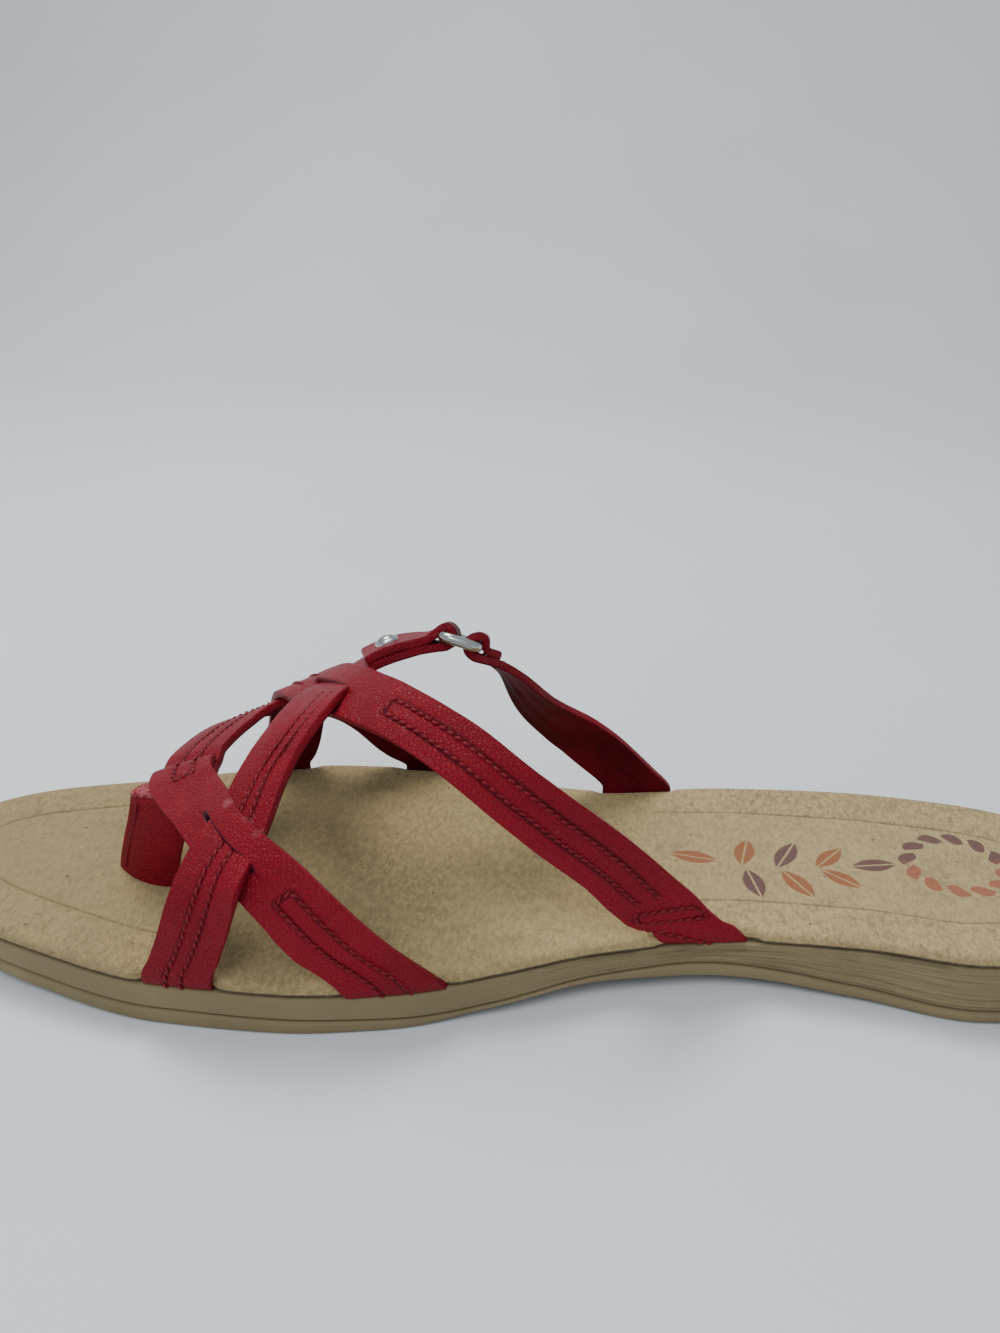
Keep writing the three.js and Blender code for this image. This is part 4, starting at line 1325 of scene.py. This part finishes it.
def strap_paths(form):
    """The paths of every strap."""
    ring = ring_frame(form)
    routes = {
        "front_band": strap_route(form, ring, FRONT_BAND, LAYER),
        "cross_strap": strap_route(form, ring, CROSS_STRAP, LAYER),
    }
    slits = []
    for name, place in (("front_band", BAND_SLIT), ("cross_strap", CROSS_SLIT)):
        path = Path(routes[name])
        spot = form.on_last(*place)[0]
        slits.append((spot, path.run[np.argmin(np.linalg.norm(path.middle - spot, axis=1))]))
    routes["long_strap"] = folded_route(form, ring, LONG_STRAP, -1, LONG_FOLD, LAYER, slits)
    routes["rear_strap"] = folded_route(form, ring, REAR_STRAP, 1, REAR_FOLD, LAYER)
    paths = {}
    for name, route in routes.items():
        route.points = list(placed(form, route.points))
        paths[name] = flipped_up(Path(route))
    return paths


SLIT_HALF = 8.9 * MM
CROSS_SLIT_HALF = 10.5 * MM
SLIT_RISE = 0.7 * MM
SLIT_DROP = 0.5 * MM
# The lift at a slit starts this far outside its end and is full this far inside it
LIFT_START = 7 * MM
LIFT_FULL = 3 * MM


def slit_lift(middle, half, upper_side):
    """Lifts the half of a strap that another passes under, and presses down the half it lies on."""

    def lift(arc, across):
        here = ease(arc, middle - half - LIFT_START, middle - half + LIFT_FULL)
        here = here * (1 - ease(arc, middle + half - LIFT_FULL, middle + half + LIFT_START))
        side = across * upper_side
        risen = SLIT_RISE * (1 - 0.35 * np.abs(side))
        dropped = SLIT_DROP * (1 - 0.2 * np.abs(side))
        return here * np.where(side > 0, risen, -dropped)

    return lift


def side_of(path, form, place, arc):
    """Which side of a strap a place over the last is on, as 1 or -1."""
    middle, wide, _ = path.at(np.array(arc), np.array(0.0))
    return 1.0 if (place_on(form, *place) - middle) @ wide > 0 else -1.0


def joined(start, end, low=-ROW_OFFSET, high=ROW_OFFSET):
    """Two rows of stitches with a cross seam over their ends."""
    return [[(start, low), (end, low), (end, high), (start, high)]]


def pair(start, end):
    """Two rows of stitches."""
    return [[(start, side), (end, side)] for side in (-ROW_OFFSET, ROW_OFFSET)]


def seam(*knots):
    """A line of stitches through knots, each given in millimetres along and as a share across."""
    return [(arc * MM, share) for arc, share in knots]


# Where the front band is highest, and places on the upper side of each slit
BAND_APEX = (0.2425, -1)
OVER_BAND_SLIT = (0.316, -27)
OVER_CROSS_SLIT = (0.396, 11)
# How far the two halves of the front band lie over each other at its highest place
OVERLAP = 9 * MM
APEX_RISE = 1 * MM
ROLL_LENGTH = 1.6 * MM
ROLL_DROP = 0.9 * MM
UNDERLAP_DROP = 1.1 * MM
# How far from a strap's ends its rows of stitches start and stop
ROW_START = 9 * MM
ROW_END = 13 * MM
CROSS_BOX = seam((25.6, -0.62), (24, 0.8), (21, 0.8), (21.4, -0.78), (25.6, -0.62))
CROSS_STRIP = seam((16.5, -0.93), (10.5, 0.2), (8.5, 0.62))
LONG_SEAMS = (
    seam((9, -0.32), (42, -0.14), (61, -0.05), (76, 0.2), (84, 0.2)),
    seam((9, 0.12), (42, 0.28), (61, 0.32), (76, 0.6), (84, 0.62)),
)


def straps(form):
    """Every strap of the upper, by name, with the heights of its weave and its pressed rows."""
    paths = strap_paths(form)
    thickness = form.sizes.strap_thickness
    band, cross = paths["front_band"], paths["cross_strap"]
    long, back = paths["long_strap"], paths["rear_strap"]
    first = band.nearest(place_on(form, *BAND_SLIT))
    second = cross.nearest(place_on(form, *CROSS_SLIT))
    apex = band.nearest(place_on(form, *BAND_APEX))
    apex_end = apex + 1 * MM
    band_slit = slit_lift(first, SLIT_HALF, side_of(band, form, OVER_BAND_SLIT, first))
    cross_slit = slit_lift(second, CROSS_SLIT_HALF, side_of(cross, form, OVER_CROSS_SLIT, second))

    def near_lift(arc, across):
        rolled = np.clip((arc - apex + ROLL_LENGTH) / ROLL_LENGTH, 0, 2)
        risen = APEX_RISE * ease(arc, apex - 16 * MM, apex - 7 * MM)
        return band_slit(arc, across) + risen - ROLL_DROP * rolled**2

    def far_lift(arc, _):
        return -UNDERLAP_DROP * (1 - ease(arc, apex_end, apex + 6 * MM))

    near_seams = joined(ROW_START, first - SLIT_HALF - 8 * MM)
    near_seams += joined(apex_end, apex - 8.6 * MM, -0.18, 0.42)
    cross_seams = joined(29 * MM, second - CROSS_SLIT_HALF - 16 * MM) + [CROSS_BOX, CROSS_STRIP]
    cross_seams += pair(second + CROSS_SLIT_HALF + 6 * MM, cross.arc[-1] - ROW_END)
    side_seams = pair(apex_end, band.arc[-1] - ROW_END)
    back_seams = pair(ROW_END, back.arc[-1] - 20 * MM)
    band_slits = [(first - SLIT_HALF, first + SLIT_HALF, 1)]
    cross_slits = [(second - CROSS_SLIT_HALF, second + CROSS_SLIT_HALF, 0.3)]
    near_part, far_part = band.part(0, apex_end), band.part(apex - OVERLAP, band.arc[-1])
    return {
        "front_band": Strap(near_part, thickness, near_lift, near_seams, band_slits),
        "side_strap": Strap(far_part, thickness, far_lift, side_seams),
        "cross_strap": Strap(cross, thickness, cross_slit, cross_seams, cross_slits),
        "long_strap": Strap(long, thickness, None, LONG_SEAMS, fold=LONG_FOLD + FOLD_END),
        "rear_strap": Strap(back, thickness, None, back_seams, fold=REAR_FOLD + FOLD_END),
    }


POST_THICKNESS = 2.6 * MM
POST_BULGE = 2 * MM
POST_SEAM = seam((4.5, -0.72), (23, -0.74))
FLAP_THICKNESS = 1.4 * MM


def toe_post(form):
    """The toe post, which bulges to the inner side at its foot."""

    def bulge(arc, across):
        return POST_BULGE * (1 - 0.5 * ease(arc, 6 * MM, 22 * MM)) * (1 - across**2) - POST_THICKNESS / 2

    return edge_piece(form, TOE_POST, POST_THICKNESS, bulge, [POST_SEAM])


def edge_piece(form, rows, thickness, lift=None, seams=()):
    """A short leather piece that runs between two given edges."""
    route = Route()
    for row in rows:
        front = np.array([row["front_x"], row["front_y"], row["front_z"]]) * MM
        back = np.array([row["rear_x"], row["rear_y"], row["rear_z"]]) * MM
        half = float(np.linalg.norm(back - front)) / 2
        route.add((front + back) / 2, unit(back - front), False, (half, half))
    route.points = list(placed(form, route.points))
    return Strap(Path(route, soften=4), thickness, lift, seams)


class SANDAL_OT_outsole(bpy.types.Operator):
    """Build the moulded rubber outsole"""

    bl_idname = "sandal.outsole"
    bl_label = "Outsole"

    def execute(self, context):
        piece = make_outsole(Form(context.scene.sandal_sizes))
        dress(piece, finish("sole"), slot="sole_rubber", replaces=("outsole",), smooth_angle=50)
        return {"FINISHED"}


class SANDAL_OT_footbed(bpy.types.Operator):
    """Build the suede footbed"""

    bl_idname = "sandal.footbed"
    bl_label = "Footbed"

    def execute(self, context):
        piece = make_footbed(Form(context.scene.sandal_sizes))
        dress(piece, finish("suede"), slot="footbed_suede", replaces=("footbed",))
        return {"FINISHED"}


class SANDAL_OT_straps(bpy.types.Operator):
    """Build the woven straps of the upper"""

    bl_idname = "sandal.straps"
    bl_label = "Woven straps"

    def execute(self, context):
        faces = finish("leather"), finish("lining")
        for name, strap in straps(Form(context.scene.sandal_sizes)).items():
            if name != "rear_strap":
                dress(strap.sheet(name), *faces, slot="strap_leather", replaces=("upper",))
        return {"FINISHED"}


class SANDAL_OT_rear_strap(bpy.types.Operator):
    """Build the rear strap, folded round the ring"""

    bl_idname = "sandal.rear_strap"
    bl_label = "Rear strap"

    def execute(self, context):
        faces = finish("leather"), finish("lining")
        piece = straps(Form(context.scene.sandal_sizes))["rear_strap"].sheet("rear_strap_leather")
        dress(piece, *faces, slot="strap_leather", replaces=("rear_strap",))
        return {"FINISHED"}


class SANDAL_OT_toe_post(bpy.types.Operator):
    """Build the folded leather toe post"""

    bl_idname = "sandal.toe_post"
    bl_label = "Toe post"

    def execute(self, context):
        form = Form(context.scene.sandal_sizes)
        post, flap = toe_post(form), edge_piece(form, POST_FLAP, FLAP_THICKNESS)
        for name, strap, kind in (("toe_post", post, "leather"), ("toe_post_flap", flap, "raw")):
            faces = finish(kind), finish(kind)
            dress(strap.sheet(name), *faces, slot="strap_leather", replaces=("upper",))
        return {"FINISHED"}


THREAD_WIDTH = 0.8 * MM


def make_stitches(form):
    """One small stitch, bent down at its ends, copied along every seam."""
    sizes = form.sizes
    places = []
    for strap in (*straps(form).values(), toe_post(form)):
        for knots in strap.seams:
            places += strap.stitches(knots, sizes)
    deselect()
    bpy.ops.mesh.primitive_uv_sphere_add(segments=8, ring_count=6, radius=1)
    template = bpy.context.object
    size = np.array([sizes.stitch_length, THREAD_WIDTH, THREAD_WIDTH]) / 2
    points = np.array([tuple(v.co) for v in template.data.vertices])[:, [2, 0, 1]] * size
    points[:, 2] -= 0.6 * THREAD_WIDTH * (np.abs(points[:, 0]) / size[0]) ** 2
    shape(template, points)
    return copies("strap_stitches", template, places)


class SANDAL_OT_stitches(bpy.types.Operator):
    """Sew the rows of tonal stitches"""

    bl_idname = "sandal.stitches"
    bl_label = "Stitches"

    def execute(self, context):
        piece = make_stitches(Form(context.scene.sandal_sizes))
        dress(piece, finish("thread"), slot="strap_leather")
        return {"FINISHED"}


# The ring's room beside the strap, and its points round a corner and round the wire
RING_MARGIN = 1.7 * MM
CORNER_STEPS = 16
WIRE_SIDES = 20
# How far the snap is from the folded end of the long strap
SNAP_INSET = 6.4 * MM
SNAP_HEIGHT = 1.5 * MM
SNAP_SIDES = 40
# The snap's section as shares of its radius and of its height
SNAP_SECTION = np.array([
    (1.0, -0.2), (1.0, 0.12), (0.97, 0.3), (0.9, 0.38), (0.8, 0.4), (0.76, 0.52), (0.66, 0.75),
    (0.5, 0.92), (0.3, 1.0), (0.2, 0.99), (0.12, 0.92), (0.0, 0.9),
])


def make_ring(form):
    """A rounded rectangular loop of wire."""
    sizes = form.sizes
    ring = ring_frame(form)
    half_opening = (sizes.ring_opening + sizes.wire) / 2
    half_long = sizes.strap_width / 2 + RING_MARGIN + sizes.wire / 2
    corner = RING_MARGIN + sizes.wire / 2 - CLEARANCE
    middles, outwards = [], []
    for long_side, run_side, start in ((1, 1, 0), (-1, 1, 90), (-1, -1, 180), (1, -1, 270)):
        for i in range(CORNER_STEPS + 1):
            angle = math.radians(start + 90 * i / CORNER_STEPS)
            outward = ring["long"] * math.cos(angle) + ring["run"] * math.sin(angle)
            spot = ring["centre"] + ring["long"] * long_side * (half_long - corner)
            spot = spot + ring["run"] * run_side * (half_opening - corner) + outward * corner
            middles.append(spot)
            outwards.append(outward)
    middles.append(middles[0])
    outwards.append(outwards[0])
    piece, column, row = sheet_from_grid("ring_wire", len(middles), WIRE_SIDES + 1)
    angle = 2 * np.pi * row / WIRE_SIDES
    out = np.array(outwards)[column] * np.cos(angle)[:, None] + ring["up"] * np.sin(angle)[:, None]
    shape(piece, placed(form, np.array(middles)[column] + out * (sizes.wire / 2)))
    weld(piece)
    return piece


def make_snap(form):
    """The snap's domed cap with a rim and a small dimple, closed underneath."""
    sizes = form.sizes
    path = straps(form)["long_strap"].path
    arc = np.array(path.arc[-1] - SNAP_INSET)
    seat, wide, out = path.at(arc, np.array(0.0), -sizes.strap_thickness / 2)
    out = -out
    piece, column, row = sheet_from_grid("snap_cap", SNAP_SIDES + 1, len(SNAP_SECTION))
    angle = 2 * np.pi * column / SNAP_SIDES
    along = unit(np.cross(out, wide))
    flat = wide * np.cos(angle)[:, None] + along * np.sin(angle)[:, None]
    spots = seat + flat * (SNAP_SECTION[row, 0] * sizes.snap_diameter / 2)[:, None]
    shape(piece, spots + out * (SNAP_SECTION[row, 1] * SNAP_HEIGHT)[:, None])
    weld(piece)
    bpy.ops.object.mode_set(mode="EDIT")
    bpy.ops.mesh.select_mode(type="VERT")
    bpy.ops.mesh.select_all(action="DESELECT")
    bpy.ops.mesh.select_non_manifold()
    bpy.ops.mesh.edge_face_add()
    bpy.ops.mesh.select_all(action="SELECT")
    bpy.ops.mesh.normals_make_consistent(inside=False)
    bpy.ops.object.mode_set(mode="OBJECT")
    return piece


class SANDAL_OT_metal(bpy.types.Operator):
    """Build the ring and the snap"""

    bl_idname = "sandal.metal"
    bl_label = "Ring and snap"

    def execute(self, context):
        form = Form(context.scene.sandal_sizes)
        dress(make_ring(form), finish("steel"), slot="ring_metal", replaces=("ring",))
        dress(make_snap(form), finish("steel"), slot="snap_metal", replaces=("snap",))
        return {"FINISHED"}


# The floor runs flat to its bend and rises as a wall. It starts this far in front of the sandal.
FLOOR_FRONT = 0.9
FLOOR_LENGTH = 4.2
FLOOR_WIDTH = 6
FLOOR_FLAT = 1.612
BEND_RADIUS = 0.5
FLOOR_DROP = 0.00005
ROOM_COLOUR = (0.8, 0.88, 0.95, 1)
ROOM_STRENGTH = 0.64
LIGHTS = (
    ("overhead_light", (-0.3, 0.42, 1.0), 0.5, 8.5, (1, 0.97, 0.93)),
    ("front_light", (-0.25, -0.65, 1.0), 0.6, 5, (0.95, 0.97, 1)),
)
LIGHT_TARGET = Vector((0, 0, 0.02))
CAMERA_PLACE = (0.009314, -0.208047, 0.158771)
# How far the camera looks down, how far it is turned aside and how far it leans, in degrees
CAMERA_TURNS = (24.5026, -3.2, 0.2896)
SENSOR_WIDTH = 36
# The focal length as a share of the picture's height
FOCAL_SHARE = 1045.28 / 1333


def make_floor(colour):
    """A floor that bends up into a wall."""
    deselect()
    bpy.ops.mesh.primitive_grid_add(x_subdivisions=2, y_subdivisions=60, size=1)
    floor = bpy.context.object
    floor.name = "floor"
    points = np.array([tuple(v.co) for v in floor.data.vertices])
    forward = (points[:, 1] + 0.5) * FLOOR_LENGTH
    angle = np.clip((forward - FLOOR_FLAT) / BEND_RADIUS, 0, math.pi / 2)
    past = np.maximum(forward - FLOOR_FLAT - BEND_RADIUS * math.pi / 2, 0)
    y = np.minimum(forward, FLOOR_FLAT) + BEND_RADIUS * np.sin(angle) - FLOOR_FRONT
    z = BEND_RADIUS * (1 - np.cos(angle)) + past - FLOOR_DROP
    shape(floor, np.stack([points[:, 0] * FLOOR_WIDTH, y, z], -1))
    made = Finish("pale_floor", 0.7)
    mottle = made.noise(3, 2).step(0.3, 0.7)
    made.set("Base Color", made.mix(mottle, shade(colour, 0.97), shade(colour, 1.03)))
    floor.data.materials.append(made.material)
    only(floor)
    bpy.ops.object.shade_smooth()
    deselect()


def make_lights(scene):
    """A soft room, and two soft lamps that face the sandal."""
    scene.world = bpy.data.worlds.new("soft_room")
    scene.world.use_nodes = True
    background = scene.world.node_tree.nodes["Background"]
    background.inputs["Color"].default_value = ROOM_COLOUR
    background.inputs["Strength"].default_value = ROOM_STRENGTH
    for name, place, width, power, colour in LIGHTS:
        data = bpy.data.lights.new(name, "AREA")
        data.size, data.energy, data.color = width, power, colour
        light = bpy.data.objects.new(name, data)
        light.location = place
        facing = LIGHT_TARGET - Vector(place)
        light.rotation_euler = facing.to_track_quat("-Z", "Y").to_euler()
        scene.collection.objects.link(light)


def make_camera(scene, shift):
    """The camera at the photograph's viewing angle."""
    data = bpy.data.cameras.new("view")
    data.sensor_fit, data.sensor_width, data.lens = "AUTO", SENSOR_WIDTH, FOCAL_SHARE * SENSOR_WIDTH
    data.clip_start, data.clip_end = 0.01, 20
    pitch, yaw, roll = (math.radians(angle) for angle in CAMERA_TURNS)
    level = math.cos(pitch)
    forward = Vector((math.sin(yaw) * level, math.cos(yaw) * level, -math.sin(pitch)))
    right = Vector((math.cos(yaw), -math.sin(yaw), 0))
    up = right.cross(forward)
    c, s = math.cos(roll), math.sin(roll)
    turn = Matrix((right * c + up * s, up * c - right * s, -forward)).transposed().to_4x4()
    camera = bpy.data.objects.new("view", data)
    x, y, z = CAMERA_PLACE
    camera.matrix_world = Matrix.Translation((x, y + shift, z)) @ turn
    scene.collection.objects.link(camera)
    scene.camera = camera


class SANDAL_OT_stage(bpy.types.Operator):
    """Set the floor, lights and camera"""

    bl_idname = "sandal.stage"
    bl_label = "Stage"

    def execute(self, context):
        scene = context.scene
        make_floor(tuple(scene.sandal_colours.floor))
        make_lights(scene)
        make_camera(scene, Form(scene.sandal_sizes).shift)
        return {"FINISHED"}


class SANDAL_PT_panel(bpy.types.Panel):
    """Buttons and sizes of the sandal"""

    bl_idname = "SANDAL_PT_panel"
    bl_label = "Strappy Sandal"
    bl_space_type = "VIEW_3D"
    bl_region_type = "UI"
    bl_category = "Sandal"

    def draw(self, context):
        for operator in OPERATORS:
            self.layout.operator(operator.bl_idname)
        for group in (context.scene.sandal_sizes, context.scene.sandal_colours):
            box = self.layout.box()
            for name in group.__annotations__:
                box.prop(group, name)


OPERATORS = (
    SANDAL_OT_stage, SANDAL_OT_outsole, SANDAL_OT_footbed, SANDAL_OT_straps, SANDAL_OT_rear_strap,
    SANDAL_OT_toe_post, SANDAL_OT_stitches, SANDAL_OT_metal,
)
CLASSES = (SandalSizes, SandalColours, *OPERATORS, SANDAL_PT_panel)


def register():
    for item in CLASSES:
        bpy.utils.register_class(item)
    bpy.types.Scene.sandal_sizes = bpy.props.PointerProperty(type=SandalSizes)
    bpy.types.Scene.sandal_colours = bpy.props.PointerProperty(type=SandalColours)


def unregister():
    del bpy.types.Scene.sandal_colours
    del bpy.types.Scene.sandal_sizes
    for item in reversed(CLASSES):
        bpy.utils.unregister_class(item)


def main():
    register()
    for operator in OPERATORS:
        group, name = operator.bl_idname.split(".")
        getattr(getattr(bpy.ops, group), name)()


if __name__ == "__main__":
    main()
